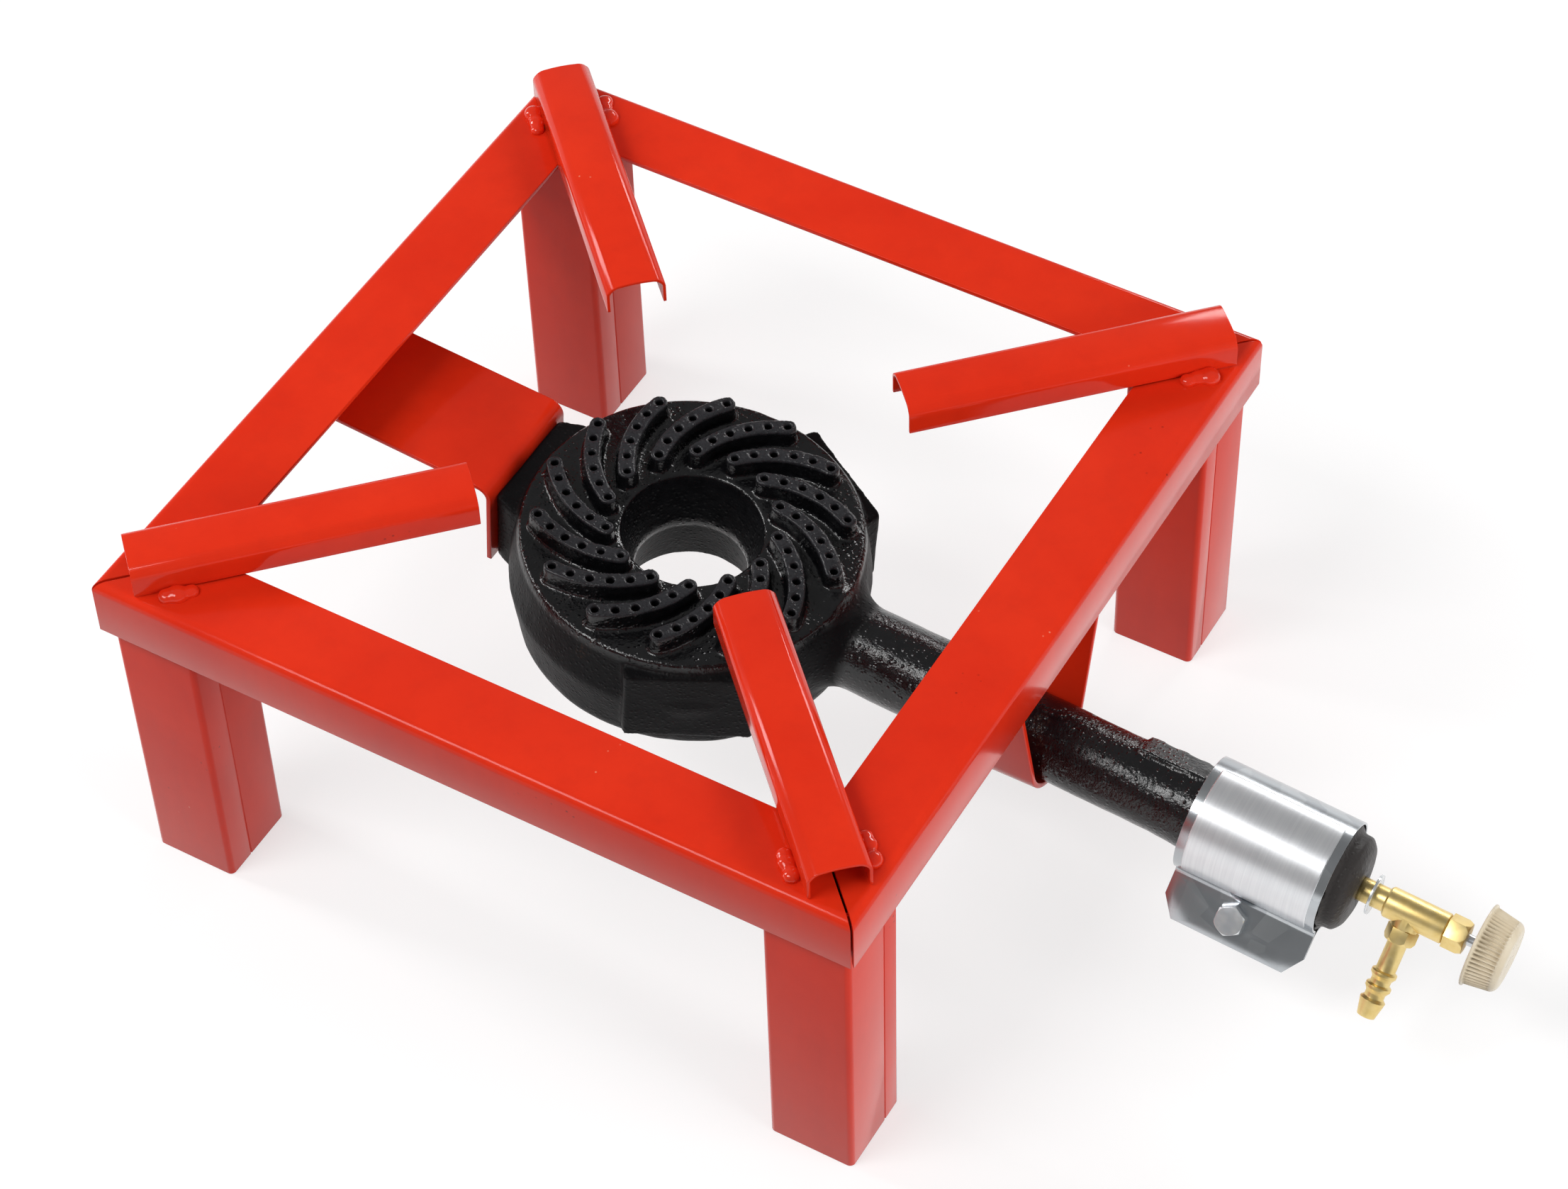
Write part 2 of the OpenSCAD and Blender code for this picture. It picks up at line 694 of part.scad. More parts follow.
// Cast iron ring burner in one piece with its vanes, lug, pads, mixing tube and bell
module burner() {
    color(iron) casting_frame() difference() {
        union() {
            translate([-ring_back, 0, 0]) {
                ring_solid();
                for (k = [0:vane_count - 1]) at_vane(k) vane();
                rotate([0, 0, 180]) wall_pad(lug_out, lug_half, 4);
                for (turn = [-60, 60]) rotate([0, 0, turn]) wall_pad(ring_r - pad_in, pad_half, 2);
            }
            tube_solid();
            rotate([-cast_pad_roll, 0, 0]) translate([bell_at - 3 - cast_pad_len, -cast_pad_w / 2, 0])
                cube([cast_pad_len, cast_pad_w, tube_r + 0.6]);
        }
        translate([-ring_back, 0, 0]) {
            translate([0, 0, ring_top + vane_h]) cylinder(r = ring_r, h = 2 * over);
            centre_hole();
            gas_gallery();
            for (k = [0:vane_count - 1]) at_vane(k) vane_ports();
        }
        venturi();
        translate([window_front - window_len, -shutter_r, -window_h / 2])
            cube([window_len, 2 * shutter_r, window_h]);
        translate([window_front - over, 0, 0]) rotate([0, 90, 0])
            cylinder(r = neck_r + run_gap, h = nose_len + 2 * over);
        translate([-lug_face - over, 0, 0]) rotate([0, 90, 0])
            cylinder(r = lug_bolt_d / 2 + run_gap, h = lug_bolt_depth + over);
    }
}

// Fillet between a circle round the origin and the line y = side, for one side of the ears
module root_fillet(r, side, fillet) {
    cy = side + fillet;
    cx = sqrt((r + fillet) * (r + fillet) - cy * cy);
    share = r / (r + fillet);
    difference() {
        polygon([[cx, 0], [cx, cy], [cx * share, cy * share], [cx * share - 2, 0]]);
        translate([cx, cy]) circle(fillet);
    }
}

// Outline of the shutter grown or shrunk by the sheet, with its ears along X
module shutter_outline(r, side, fillet, reach) {
    circle(r, $fn = 96);
    translate([0, -side]) square([reach, 2 * side]);
    for (s = [0, 1]) mirror([0, s]) root_fillet(r, side, fillet);
}

// Sheet sleeve over the bell, closed by two ears with cut corners
module air_shutter() {
    inner_r = shutter_r - shutter_t;
    color(zinc) at_roll(shutter_at, ear_roll) difference() {
        linear_extrude(shutter_len) difference() {
            shutter_outline(shutter_r, ear_gap / 2 + shutter_t, ear_bend, ear_reach);
            shutter_outline(inner_r, ear_gap / 2, ear_bend + shutter_t, ear_reach + over);
        }
        for (end = [0, 1]) translate([0, 0, end * shutter_len]) mirror([0, 0, end])
            rotate([90, 0, 0]) linear_extrude(2 * shutter_r, center = true) polygon([
                [ear_reach - ear_cut_reach, 0], [ear_reach, ear_cut_len],
                [ear_reach + over, ear_cut_len], [ear_reach + over, -over],
                [ear_reach - ear_cut_reach, -over]
            ]);
        translate([clamp_reach, 0, nose_at - clamp_back - shutter_at]) rotate([90, 0, 0])
            cylinder(r = clamp_d / 2 + bolt_gap, h = 2 * shutter_r, center = true);
    }
}

module at_clamp() {
    at_roll(nose_at - clamp_back, ear_roll) translate([clamp_reach, 0, 0])
        rotate([-90, 0, 0]) children();
}

// Hexagon bolt through the ears, head on the side that faces up
module clamp_bolt() {
    color(zinc) at_clamp() {
        translate([0, 0, -ear_half - clamp_head_h]) turned_hexagon(clamp_flats, clamp_head_h, true, false);
        translate([0, 0, -ear_half]) cylinder(r = clamp_d / 2, h = 2 * ear_half + clamp_nut_h + clamp_tail);
    }
}

module clamp_nut() {
    color(zinc) at_clamp() translate([0, 0, ear_half]) difference() {
        turned_hexagon(clamp_flats, clamp_nut_h, true, true);
        translate([0, 0, -over]) cylinder(r = clamp_d / 2 + run_gap, h = clamp_nut_h + 2 * over);
    }
}

// Jet screwed into the neck inside the bell, its hole pointing up the tube
module injector() {
    jet_front = window_front - neck_tail + 3;
    tip_len = 5;
    hex_end = tip_len + 4;
    jet_hole_r = 0.55;
    feed_r = 1.4;
    color(brass) along_tube(jet_front - jet_len) difference() {
        union() {
            cylinder(r1 = 2, r2 = 3, h = tip_len);
            translate([0, 0, tip_len]) turned_hexagon(jet_flats, hex_end - tip_len, true, true);
            translate([0, 0, hex_end]) cylinder(r = jet_thread_r, h = jet_len - hex_end);
        }
        translate([0, 0, -over]) cylinder(r = jet_hole_r, h = tip_len);
        translate([0, 0, 3]) cylinder(r = feed_r, h = jet_len);
    }
}

// Brass body: threaded neck in the nose, needle seat, branch boss and gland thread
module valve_body() {
    rear = window_front - neck_tail - 1;
    rear_edge = 0.8;
    front_edge = 0.5;
    color(brass) difference() {
        union() {
            along_tube(rear) cylinder(r = neck_r, h = body_at - rear + over);
            along_tube(0) rotate_extrude() polygon([
                [0, body_at], [valve_r - rear_edge, body_at], [valve_r, body_at + rear_edge],
                [valve_r, body_end - front_edge], [valve_r - front_edge, body_end],
                [gland_thread_r, body_end], [gland_thread_r, body_end + thread_shoulder],
                [0, body_end + thread_shoulder]
            ]);
            at_roll(body_at + branch_at, branch_roll) rotate([0, 90, 0]) cylinder(r = boss_r, h = boss_end);
        }
        along_tube(rear - over) cylinder(r = jet_thread_r + run_gap, h = jet_skirt + over);
        along_tube(rear) cylinder(r = neck_bore_r, h = seat_at - rear - 1);
        along_tube(rear) cylinder(r = seat_r, h = seat_at - rear + 2);
        along_tube(seat_at) cylinder(r1 = seat_r, r2 = needle_thread_r + run_gap, h = 3);
        along_tube(seat_at + 3)
            cylinder(r = needle_thread_r + run_gap, h = body_end + thread_shoulder - seat_at);
        at_roll(body_at + branch_at, branch_roll) rotate([0, 90, 0])
            cylinder(r = tail_stem_r + run_gap, h = boss_end + over);
    }
}

module neck_washer() {
    color(zinc) along_tube(nose_at + washer_at) difference() {
        cylinder(r = washer_r, h = washer_t);
        translate([0, 0, -over]) cylinder(r = neck_r + run_gap, h = washer_t + 2 * over);
    }
}

// Hose nozzle screwed into the branch: hexagon, plain stem, two barbs and a tapered end
module hose_tail() {
    hex_end = boss_end + tail_hex_len;
    stem_end = hex_end + tail_stem_len;
    spigot = needle_thread_r + 0.8;
    land = 1.2;
    ramp = 1.3;
    color(brass) at_roll(body_at + branch_at, branch_roll) rotate([0, 90, 0]) difference() {
        union() {
            translate([0, 0, boss_end]) turned_hexagon(tail_flats, tail_hex_len, false, true);
            rotate_extrude() polygon(concat(
                [[0, spigot], [tail_stem_r, spigot], [tail_stem_r, stem_end]],
                [for (i = [0:1], p = [
                    [barb_r - 0.3, 0.4], [barb_r, 0.7], [barb_r, 0.7 + land],
                    [barb_r - 0.3, 1 + land], [tail_stem_r, 1 + land + ramp], [tail_stem_r, barb_step]
                ]) [p[0], stem_end + i * barb_step + p[1]]],
                [
                    [barb_r, stem_end + 2 * barb_step + 1], [barb_r - 0.2, stem_end + 2 * barb_step + 2],
                    [tail_stem_r - 0.3, stem_end + 2 * barb_step + 7.3],
                    [0, stem_end + 2 * barb_step + 7.3]
                ]
            ));
        }
        cylinder(r = tail_bore_r, h = stem_end + 3 * barb_step + 10);
    }
}

module gland_packing() {
    color(graphite) along_tube(body_end + thread_shoulder) difference() {
        cylinder(r = gland_thread_r - 0.1, h = packing_h - 0.2);
        translate([0, 0, -over]) cylinder(r = stem_r + run_gap, h = packing_h + 2 * over);
    }
}

// Hexagon nut that squeezes the packing round the stem
module gland_nut() {
    pocket = thread_shoulder + packing_h - (gland_at - body_end);
    color(brass) along_tube(gland_at) difference() {
        turned_hexagon(gland_flats, gland_len, false, true);
        translate([0, 0, -over])
            cylinder(r = gland_thread_r + run_gap, h = min(pocket, gland_len - 1) + over);
        translate([0, 0, -over]) cylinder(r = stem_r + run_gap, h = gland_len + 2 * over);
    }
}

// Needle with its cone on the seat, its thread in the body and its stem in the knob
module valve_needle() {
    thread_at = seat_at + 8;
    thread_len = 8;
    color(zinc) along_tube(0) rotate_extrude() polygon([
        [0, seat_at - 0.9], [seat_r - 0.7, seat_at - 0.7],
        [seat_r + 0.7, seat_at + 1.6], [stem_r, seat_at + 4],
        [stem_r, thread_at], [needle_thread_r, thread_at + 0.8],
        [needle_thread_r, thread_at + thread_len - 0.8], [stem_r, thread_at + thread_len],
        [stem_r, knob_at + knob_len - 4], [stem_r - 0.5, knob_at + knob_len - 3.5],
        [0, knob_at + knob_len - 3.5]
    ]);
}

// Fluted plastic knob, hollow behind round the boss that grips the stem
module knob() {
    rim_h = 0.9;
    rim_edge = 0.2;
    shoulder = 2.8;
    flute_r = 0.62;
    flute_out = 0.25;
    wall = 2.2;
    hollow = 4;
    blind = 3;
    lean = atan((knob_r - knob_end_r) / (knob_len - rim_h));
    color(ivory) along_tube(knob_at) difference() {
        rotate_extrude($fn = 96) polygon(concat(
            [[0, 0], [knob_rim_r - rim_edge, 0], [knob_rim_r, rim_edge], [knob_rim_r, rim_h]],
            [[knob_r, rim_h]],
            arc_points(knob_end_r - shoulder, knob_len - shoulder, shoulder, 0, 90, 6),
            [[0, knob_len]]
        ));
        for (i = [0:flute_count - 1]) rotate([0, 0, i * 360 / flute_count])
            translate([knob_r + flute_out, 0, rim_h]) rotate([0, -lean, 0])
                cylinder(r = flute_r, h = flute_len, $fn = 16);
        difference() {
            translate([0, 0, -over]) cylinder(r = knob_end_r - wall, h = hollow + over);
            translate([0, 0, -2 * over]) cylinder(r = 2 * stem_r, h = hollow + 3 * over);
        }
        translate([0, 0, -over]) cylinder(r = stem_r + run_gap, h = knob_len - blind + over);
    }
}

left_rail();
right_rail();
front_rail();
rear_rail();
front_left_leg();
front_right_leg();
rear_left_leg();
rear_right_leg();
front_left_support();
front_right_support();
rear_left_support();
rear_right_support();
support_welds();
hanger_welds();
rear_bracket();
bracket_bolt();
bracket_washer();
tube_cradle();
burner();
air_shutter();
clamp_bolt();
clamp_nut();
injector();
valve_body();
neck_washer();
hose_tail();
gland_packing();
gland_nut();
valve_needle();
knob();
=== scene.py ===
"""Looks of a low single burner gas stove: red enamelled angle frame on four tube legs, channel
pan supports, a cast iron ring burner and a brass needle valve. Metres, Z up, X along the mixing
tube towards the knob."""
import math

import bmesh
import bpy
from mathutils import Matrix, Vector, noise


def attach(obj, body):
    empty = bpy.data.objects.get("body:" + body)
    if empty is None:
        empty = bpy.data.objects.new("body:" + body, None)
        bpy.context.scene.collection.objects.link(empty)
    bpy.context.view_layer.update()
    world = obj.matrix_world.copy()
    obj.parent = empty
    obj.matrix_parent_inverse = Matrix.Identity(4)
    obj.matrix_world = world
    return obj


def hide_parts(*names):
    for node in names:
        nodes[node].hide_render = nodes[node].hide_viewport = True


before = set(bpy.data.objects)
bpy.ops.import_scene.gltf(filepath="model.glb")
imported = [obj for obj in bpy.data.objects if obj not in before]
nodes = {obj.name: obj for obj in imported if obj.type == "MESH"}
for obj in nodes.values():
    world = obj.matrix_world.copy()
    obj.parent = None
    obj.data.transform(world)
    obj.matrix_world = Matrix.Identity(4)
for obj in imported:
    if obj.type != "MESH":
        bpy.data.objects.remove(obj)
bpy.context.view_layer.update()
scene = bpy.context.scene

MM = 0.001

# Camera, solved from the photograph, its lens and sensor in millimetres
CAMERA_AT = Vector((0.55335, -0.84333, 1.22319))
CAMERA_TARGET = Vector((0.03111, 0.00946, 0.080))
CAMERA_ROLL = math.radians(-1.926)
CAMERA_LENS = 96.78
CAMERA_SENSOR = 36

# Sizes shared with the model's source
BURNER_Z = 86.8 * MM
TILT = math.radians(4.5)
RING_BACK = 2 * MM
RING_TOP = 20.5 * MM
VANE_TOP = 28 * MM
HOLE_MOUTH = 25.7 * MM
NOSE = 265.4 * MM
SHUTTER_R = 21 * MM
SHUTTER_LEN = 53.5 * MM
SHUTTER_FROM = NOSE - 7.9 * MM - SHUTTER_LEN
EAR_ROLL = math.radians(48)
CLAMP_BACK = 36.4 * MM
CLAMP_REACH = 29.8 * MM
KNOB_AT = 309.3 * MM
FLUTES = 52
SUPPORT_SHEET = 1.2 * MM

# The tilted casting's own frame: X along the mixing tube, Z up through the ring
CASTING = Matrix.Translation((0, 0, BURNER_Z)) @ Matrix.Rotation(TILT, 4, "Y")

# Light of the studio, and how far up the white backdrop reaches, as the sine of the height angle
ROOM_LIGHT = 0.28
WHITE_UP_TO = 0.03
CEILING_FROM = 0.14
CEILING_LEVEL = 0.27

# The floor's glow near the stove, and the brighter glow far away, where the lamps don't reach
NEAR_GLOW = 0.62
FAR_GLOW = 0.97
NEAR_WITHIN = 1.0
FAR_BEYOND = 2.4


# Node trees in general

class Wiring:
    """A node tree in the making."""

    def __init__(self, tree):
        self.tree = tree
        tree.nodes.clear()

    def node(self, kind, inputs=None, **settings):
        """A new node with its settings, and each input linked to a socket or set to a value."""
        made = self.tree.nodes.new(kind)
        for key, value in settings.items():
            setattr(made, key, value)
        for key, value in (inputs or {}).items():
            if isinstance(value, bpy.types.NodeSocket):
                self.tree.links.new(value, made.inputs[key])
            else:
                made.inputs[key].default_value = value
        return made

    def maths(self, kind, a, b=0.0):
        return self.node("ShaderNodeMath", {0: a, 1: b}, operation=kind).outputs[0]

    def product(self, first, *others):
        for other in others:
            first = self.maths("MULTIPLY", first, other)
        return first

    def greatest(self, first, *others):
        for other in others:
            first = self.maths("MAXIMUM", first, other)
        return first

    def radius(self, a, b):
        """Distance from an axis, from the two coordinates across it."""
        return self.maths("SQRT", self.maths("ADD", self.product(a, a), self.product(b, b)))

    def steps(self, value, low, high, to_low=0.0, to_high=1.0, shape="LINEAR"):
        """The value taken from one range to another, and held at the ends."""
        return self.node("ShaderNodeMapRange", {0: value, 1: low, 2: high, 3: to_low, 4: to_high},
                         interpolation_type=shape).outputs[0]

    def showing_rays(self):
        """Camera rays, and all rays that show a backdrop: seen, mirrored or through glass."""
        path = self.node("ShaderNodeLightPath").outputs
        seen = path["Is Camera Ray"]
        return seen, self.greatest(path["Is Glossy Ray"], path["Is Transmission Ray"], seen)


# Finishes

def linear(r, g, b):
    """Linear colour of an 8-bit screen colour."""
    def one(v):
        v /= 255
        return v / 12.92 if v <= 0.04045 else ((v + 0.055) / 1.055) ** 2.4
    return (one(r), one(g), one(b), 1.0)


class Finish(Wiring):
    """A material in the making: one Principled shader and the nodes that feed it."""

    def __init__(self, name, **sockets):
        self.material = bpy.data.materials.new(name)
        self.material.use_nodes = True
        super().__init__(self.material.node_tree)
        values = {key.replace("_", " "): value for key, value in sockets.items()}
        self.shader = self.node("ShaderNodeBsdfPrincipled", values)
        self.node("ShaderNodeOutputMaterial", {"Surface": self.shader.outputs["BSDF"]})
        self.place = self.node("ShaderNodeTexCoord").outputs["Object"]
        self.normal = None

    def stretched(self, x, y, z, turn=(0, 0, 0)):
        """Object coordinates turned, then scaled along each axis."""
        turned = self.node("ShaderNodeMapping", {"Vector": self.place, "Rotation": turn}).outputs[0]
        return self.node("ShaderNodeMapping", {"Vector": turned, "Scale": (x, y, z)}).outputs[0]

    def in_casting(self):
        """Object coordinates in the tilted casting's own frame, one socket each."""
        lowered = self.node("ShaderNodeVectorMath", {0: self.place, 1: (0, 0, -BURNER_Z)}).outputs[0]
        level = self.node("ShaderNodeVectorRotate", {"Vector": lowered, "Angle": -TILT},
                          rotation_type="Y_AXIS").outputs[0]
        return self.node("ShaderNodeSeparateXYZ", {0: level}).outputs

    def noise(self, scale, detail, rough, vector=None):
        return self.node("ShaderNodeTexNoise", {
            "Vector": vector or self.place, "Scale": scale, "Detail": detail,
            "Roughness": rough}).outputs["Fac"]

    def cells(self, scale):
        """Outputs of a pattern of cells: Distance from each centre and Color of each cell."""
        return self.node("ShaderNodeTexVoronoi", {"Vector": self.place, "Scale": scale}).outputs

    def mix(self, share, a, b):
        return self.node("ShaderNodeMix", {0: share, 6: a, 7: b}, data_type="RGBA").outputs[2]

    def feed(self, name, socket):
        """Links a socket to the shader's input of that name."""
        self.tree.links.new(socket, self.shader.inputs[name])

    def bump(self, height, strength, distance):
        """Adds a bump on top of the bumps so far."""
        bumps = {"Height": height, "Strength": strength, "Distance": distance}
        if self.normal is not None:
            bumps["Normal"] = self.normal
        self.normal = self.node("ShaderNodeBump", bumps).outputs["Normal"]
        self.feed("Normal", self.normal)


def enamel_finish(name, flecks, **gloss):
    """Thick red gloss enamel with orange peel, slight tonal drift and sparse pale flecks."""
    deep_red, bright_red, run_red = linear(215, 43, 19), linear(226, 51, 23), linear(198, 42, 22)
    pale_fleck, soot_brown = linear(236, 150, 120), linear(90, 20, 14)
    f = Finish(name, **gloss)
    tone = f.mix(f.steps(f.noise(18, 5, 0.6), 0.3, 0.7), deep_red, bright_red)
    runs = f.steps(f.noise(90, 4, 0.65, f.stretched(1, 1, 0.25)), 0.45, 0.8, 0, 0.30)
    tone = f.mix(runs, tone, run_red)
    dust = f.cells(330)
    dusty = f.steps(f.noise(38, 2, 0.5), 0.66, 0.70)
    dot = f.steps(dust["Distance"], 0.06, 0.16, 1, 0)
    picked = f.steps(f.maths("FRACT", f.product(dust["Color"], 7.3)), 0.62, 0.64)
    tone = f.mix(f.product(dot, dusty, picked, flecks), tone, pale_fleck)
    soot = f.cells(260)
    sooty = f.steps(f.noise(24, 2, 0.5), 0.67, 0.72)
    speck = f.steps(soot["Distance"], 0.05, 0.16, 1, 0)
    f.feed("Base Color", f.mix(f.product(speck, sooty, 0.7), tone, soot_brown))
    f.feed("Roughness", f.steps(f.noise(70, 3, 0.5), 0.3, 0.75, 0.10, 0.17))
    f.bump(f.noise(240, 2, 0.5), 0.04, 0.2 * MM)
    f.bump(f.noise(20, 2, 0.5), 0.03, 3 * MM)
    return f.material


def cast_iron_finish():
    """Black painted sand casting. The vanes' tops are worn greyer, the skin sparkles."""
    black, blue_black, worn_grey = linear(8, 8, 10), linear(17, 17, 19), linear(42, 42, 45)
    wall_black, shade_black = linear(17, 17, 18), linear(4, 4, 5)
    nose_grey, rust_brown = linear(54, 51, 50), linear(92, 66, 50)
    wall_face, pad_face = 62 * MM, 72 * MM
    f = Finish("cast_iron_black")
    along, y, z = f.in_casting()
    x = f.maths("ADD", along, RING_BACK)
    out = f.radius(x, y)
    grain = f.noise(900, 4, 0.65)
    lumps = f.noise(260, 3, 0.6)
    worn = f.product(f.steps(z, VANE_TOP - 1.4 * MM, VANE_TOP - 0.5 * MM),
                     f.steps(grain, 0.3, 0.6, 0.5, 1))
    wall = f.product(f.steps(out, wall_face - 1 * MM, wall_face + 1 * MM),
                     f.steps(z, RING_TOP - 1 * MM, RING_TOP - 4 * MM),
                     f.steps(out, pad_face + 2 * MM, pad_face - 2 * MM))
    inside = f.product(f.steps(out, HOLE_MOUTH + 1 * MM, HOLE_MOUTH),
                       f.steps(z, RING_TOP, RING_TOP - 2 * MM))
    lower_half = f.product(inside, f.steps(z, 1 * MM, -1 * MM))
    hole = f.product(inside, f.steps(f.maths("ABSOLUTE", z), 0.8 * MM, 2.5 * MM))
    nose = f.steps(x, NOSE - 9 * MM, NOSE - 7 * MM)
    streaks = f.steps(f.noise(150, 4, 0.6, f.stretched(1, 1, 0.18)), 0.35, 0.7, 0.4, 1)
    rust = f.product(f.steps(f.noise(40, 4, 0.6), 0.68, 0.76), f.steps(grain, 0.5, 0.62), 0.4)
    tone = f.mix(f.steps(lumps, 0.35, 0.7), black, blue_black)
    tone = f.mix(worn, tone, worn_grey)
    tone = f.mix(lower_half, tone, shade_black)
    tone = f.mix(f.product(wall, streaks), tone, wall_black)
    tone = f.mix(nose, tone, nose_grey)
    f.feed("Base Color", f.mix(rust, tone, rust_brown))
    dull = f.greatest(f.product(worn, 0.6), f.product(nose, 0.8), wall, hole)
    f.feed("Roughness", f.mix(dull, f.steps(grain, 0.35, 0.68, 0.10, 0.26), (0.46, 0.46, 0.46, 1)))
    f.feed("Specular IOR Level", f.steps(dull, 0.0, 1.0, 0.52, 0.08))
    f.bump(lumps, 0.35, 0.5 * MM)
    f.bump(f.noise(700, 3, 0.65), 0.6, 0.3 * MM)
    grit = f.product(f.steps(f.cells(520)["Distance"], 0.0, 0.4, 1, 0),
                     f.steps(f.noise(60, 2, 0.5), 0.35, 0.6, 0.35, 1))
    f.bump(grit, 0.9, 0.3 * MM)
    return f.material


def zinc_sheet_finish():
    """Galvanised sheet, smooth, with faint spangle."""
    f = Finish("galvanised_sheet", Metallic=1.0)
    spangle = f.steps(f.cells(120)["Color"], 0.2, 0.8)
    f.feed("Base Color", f.mix(spangle, linear(176, 180, 184), linear(192, 196, 199)))
    f.feed("Roughness", f.steps(f.noise(60, 3, 0.5), 0.3, 0.7, 0.17, 0.27))
    f.bump(f.noise(30, 2, 0.5), 0.05, 2 * MM)
    return f.material


def foil_finish():
    """Bare satin foil, brushed round the sleeve."""
    f = Finish("satin_label_foil", Metallic=0.85, Specular_IOR_Level=0.5)
    round_sleeve = f.stretched(1, 0.02, 0.02, (0, -TILT, 0))
    brushed = f.steps(f.noise(1600, 2, 0.5, round_sleeve), 0.3, 0.7)
    f.feed("Base Color", f.mix(brushed, linear(222, 224, 227), linear(231, 233, 235)))
    f.feed("Roughness", f.steps(f.noise(200, 2, 0.5), 0.3, 0.7, 0.30, 0.33))
    return f.material


def zinc_fastener_finish():
    """Bright zinc plating, a little milky in patches."""
    f = Finish("zinc_plated_steel", Metallic=0.8)
    patch = f.steps(f.noise(240, 3, 0.55), 0.4, 0.65)
    f.feed("Base Color", f.mix(patch, linear(214, 218, 222), linear(230, 232, 232)))
    f.feed("Roughness", f.steps(f.noise(300, 2, 0.5), 0.3, 0.7, 0.18, 0.28))
    return f.material


def brass_finish():
    """Satin machined brass, a little darker in patches."""
    f = Finish("satin_brass", Metallic=1.0)
    patch = f.steps(f.noise(180, 3, 0.6), 0.38, 0.68)
    f.feed("Base Color", f.mix(patch, linear(236, 212, 148), linear(228, 200, 128)))
    f.feed("Roughness", f.steps(f.noise(300, 2, 0.5), 0.3, 0.7, 0.33, 0.42))
    f.bump(f.noise(500, 2, 0.5), 0.03, 0.05 * MM)
    return f.material


def ivory_finish():
    """Moulded off-white plastic, slightly waxy, with painted shade darkening the knob's grooves."""
    grip_r, grip_from, grip_to, fade = 12.4 * MM, KNOB_AT + 1.0 * MM, KNOB_AT + 9.8 * MM, 0.6 * MM
    f = Finish("ivory_plastic", Specular_IOR_Level=0.5)
    x, y, z = f.in_casting()
    around = f.maths("ARCTAN2", y, f.product(z, -1.0))
    # Painted shade: the grip's grooves between the flutes are darkened towards brown
    groove = f.steps(f.maths("COSINE", f.product(around, FLUTES)), 0.3, -1.0, 0.0, 0.75)
    grip = f.product(f.steps(f.radius(y, z), grip_r, grip_r + 0.4 * MM),
                     f.steps(x, grip_from, grip_from + fade), f.steps(x, grip_to, grip_to - fade))
    plain = f.mix(f.steps(f.noise(160, 3, 0.5), 0.35, 0.7), linear(214, 200, 174), linear(224, 212, 188))
    f.feed("Base Color", f.mix(f.product(groove, grip), plain, linear(128, 112, 88)))
    f.feed("Roughness", f.steps(f.noise(400, 2, 0.5), 0.3, 0.7, 0.26, 0.36))
    return f.material


def graphite_finish():
    """Matt packing cord."""
    f = Finish("graphite_packing", Roughness=0.8)
    weave = f.noise(2500, 2, 0.5)
    f.feed("Base Color", f.mix(f.steps(weave, 0.3, 0.7), linear(46, 46, 48), linear(70, 70, 72)))
    f.bump(weave, 0.4, 0.1 * MM)
    return f.material


ENAMEL = enamel_finish("red_enamel", flecks=0.8, Specular_IOR_Level=0.18)
WELD = enamel_finish("pooled_red_enamel", flecks=0.2, Specular_IOR_Level=0.25,
                     Coat_Weight=0.25, Coat_Roughness=0.03)
IRON = cast_iron_finish()
SHEET = zinc_sheet_finish()
FOIL = foil_finish()
ZINC = zinc_fastener_finish()
BRASS = brass_finish()
IVORY = ivory_finish()
GRAPHITE = graphite_finish()

# Finish of each CAD node that isn't plain red enamel
NODE_FINISH = {
    "hanger_welds": WELD, "support_welds": WELD, "burner": IRON, "air_shutter": SHEET,
    "clamp_bolt": ZINC, "clamp_nut": ZINC, "bracket_bolt": ZINC, "bracket_washer": ZINC,
    "neck_washer": ZINC, "valve_needle": ZINC, "injector": BRASS, "valve_body": BRASS,
    "hose_tail": BRASS, "gland_nut": BRASS, "gland_packing": GRAPHITE, "knob": IVORY,
}
for name, obj in nodes.items():
    for slot in obj.material_slots:
        slot.material = NODE_FINISH.get(name, ENAMEL)


# Meshes and pieces

# Edges above this many degrees stay sharp, faces this nearly flat join, points this close merge
SHARP_ABOVE = 35
JOIN_BELOW = math.radians(0.4)
SAME_PLACE = 1e-7


def mesh_of(bm, name):
    """Turns a bmesh into a mesh and frees it."""
    mesh = bpy.data.meshes.new(name)
    bm.to_mesh(mesh)
    bm.free()
    return mesh


def in_scene(name, mesh):
    """A new object with that mesh, linked into the scene."""
    obj = bpy.data.objects.new(name, mesh)
    scene.collection.objects.link(obj)
    return obj


def modify(obj, kind, **settings):
    """Gives an object one more modifier with these settings."""
    modifier = obj.modifiers.new(kind.lower(), kind)
    for key, value in settings.items():
        setattr(modifier, key, value)


def baked(obj):
    """The object's mesh with its modifiers applied, as a new mesh of the object's name."""
    bpy.context.view_layer.update()
    depsgraph = bpy.context.evaluated_depsgraph_get()
    mesh = bpy.data.meshes.new_from_object(obj.evaluated_get(depsgraph))
    old = obj.data
    obj.modifiers.clear()
    obj.data = mesh
    bpy.data.meshes.remove(old)
    mesh.name = obj.name
    return mesh


def merged_copy(node):
    """Bmesh of a CAD node's mesh, its loose triangles merged."""
    bm = bmesh.new()
    bm.from_mesh(nodes[node].data)
    bmesh.ops.remove_doubles(bm, verts=bm.verts, dist=SAME_PLACE)
    return bm


def shade_by_angle(mesh, degrees):
    """Smooth faces, with edges above that many degrees kept sharp."""
    bm = bmesh.new()
    bm.from_mesh(mesh)
    limit = math.radians(degrees)
    for e in bm.edges:
        e.smooth = len(e.link_faces) == 2 and e.calc_face_angle(0) < limit
    for f in bm.faces:
        f.smooth = True
    bm.to_mesh(mesh)
    bm.free()


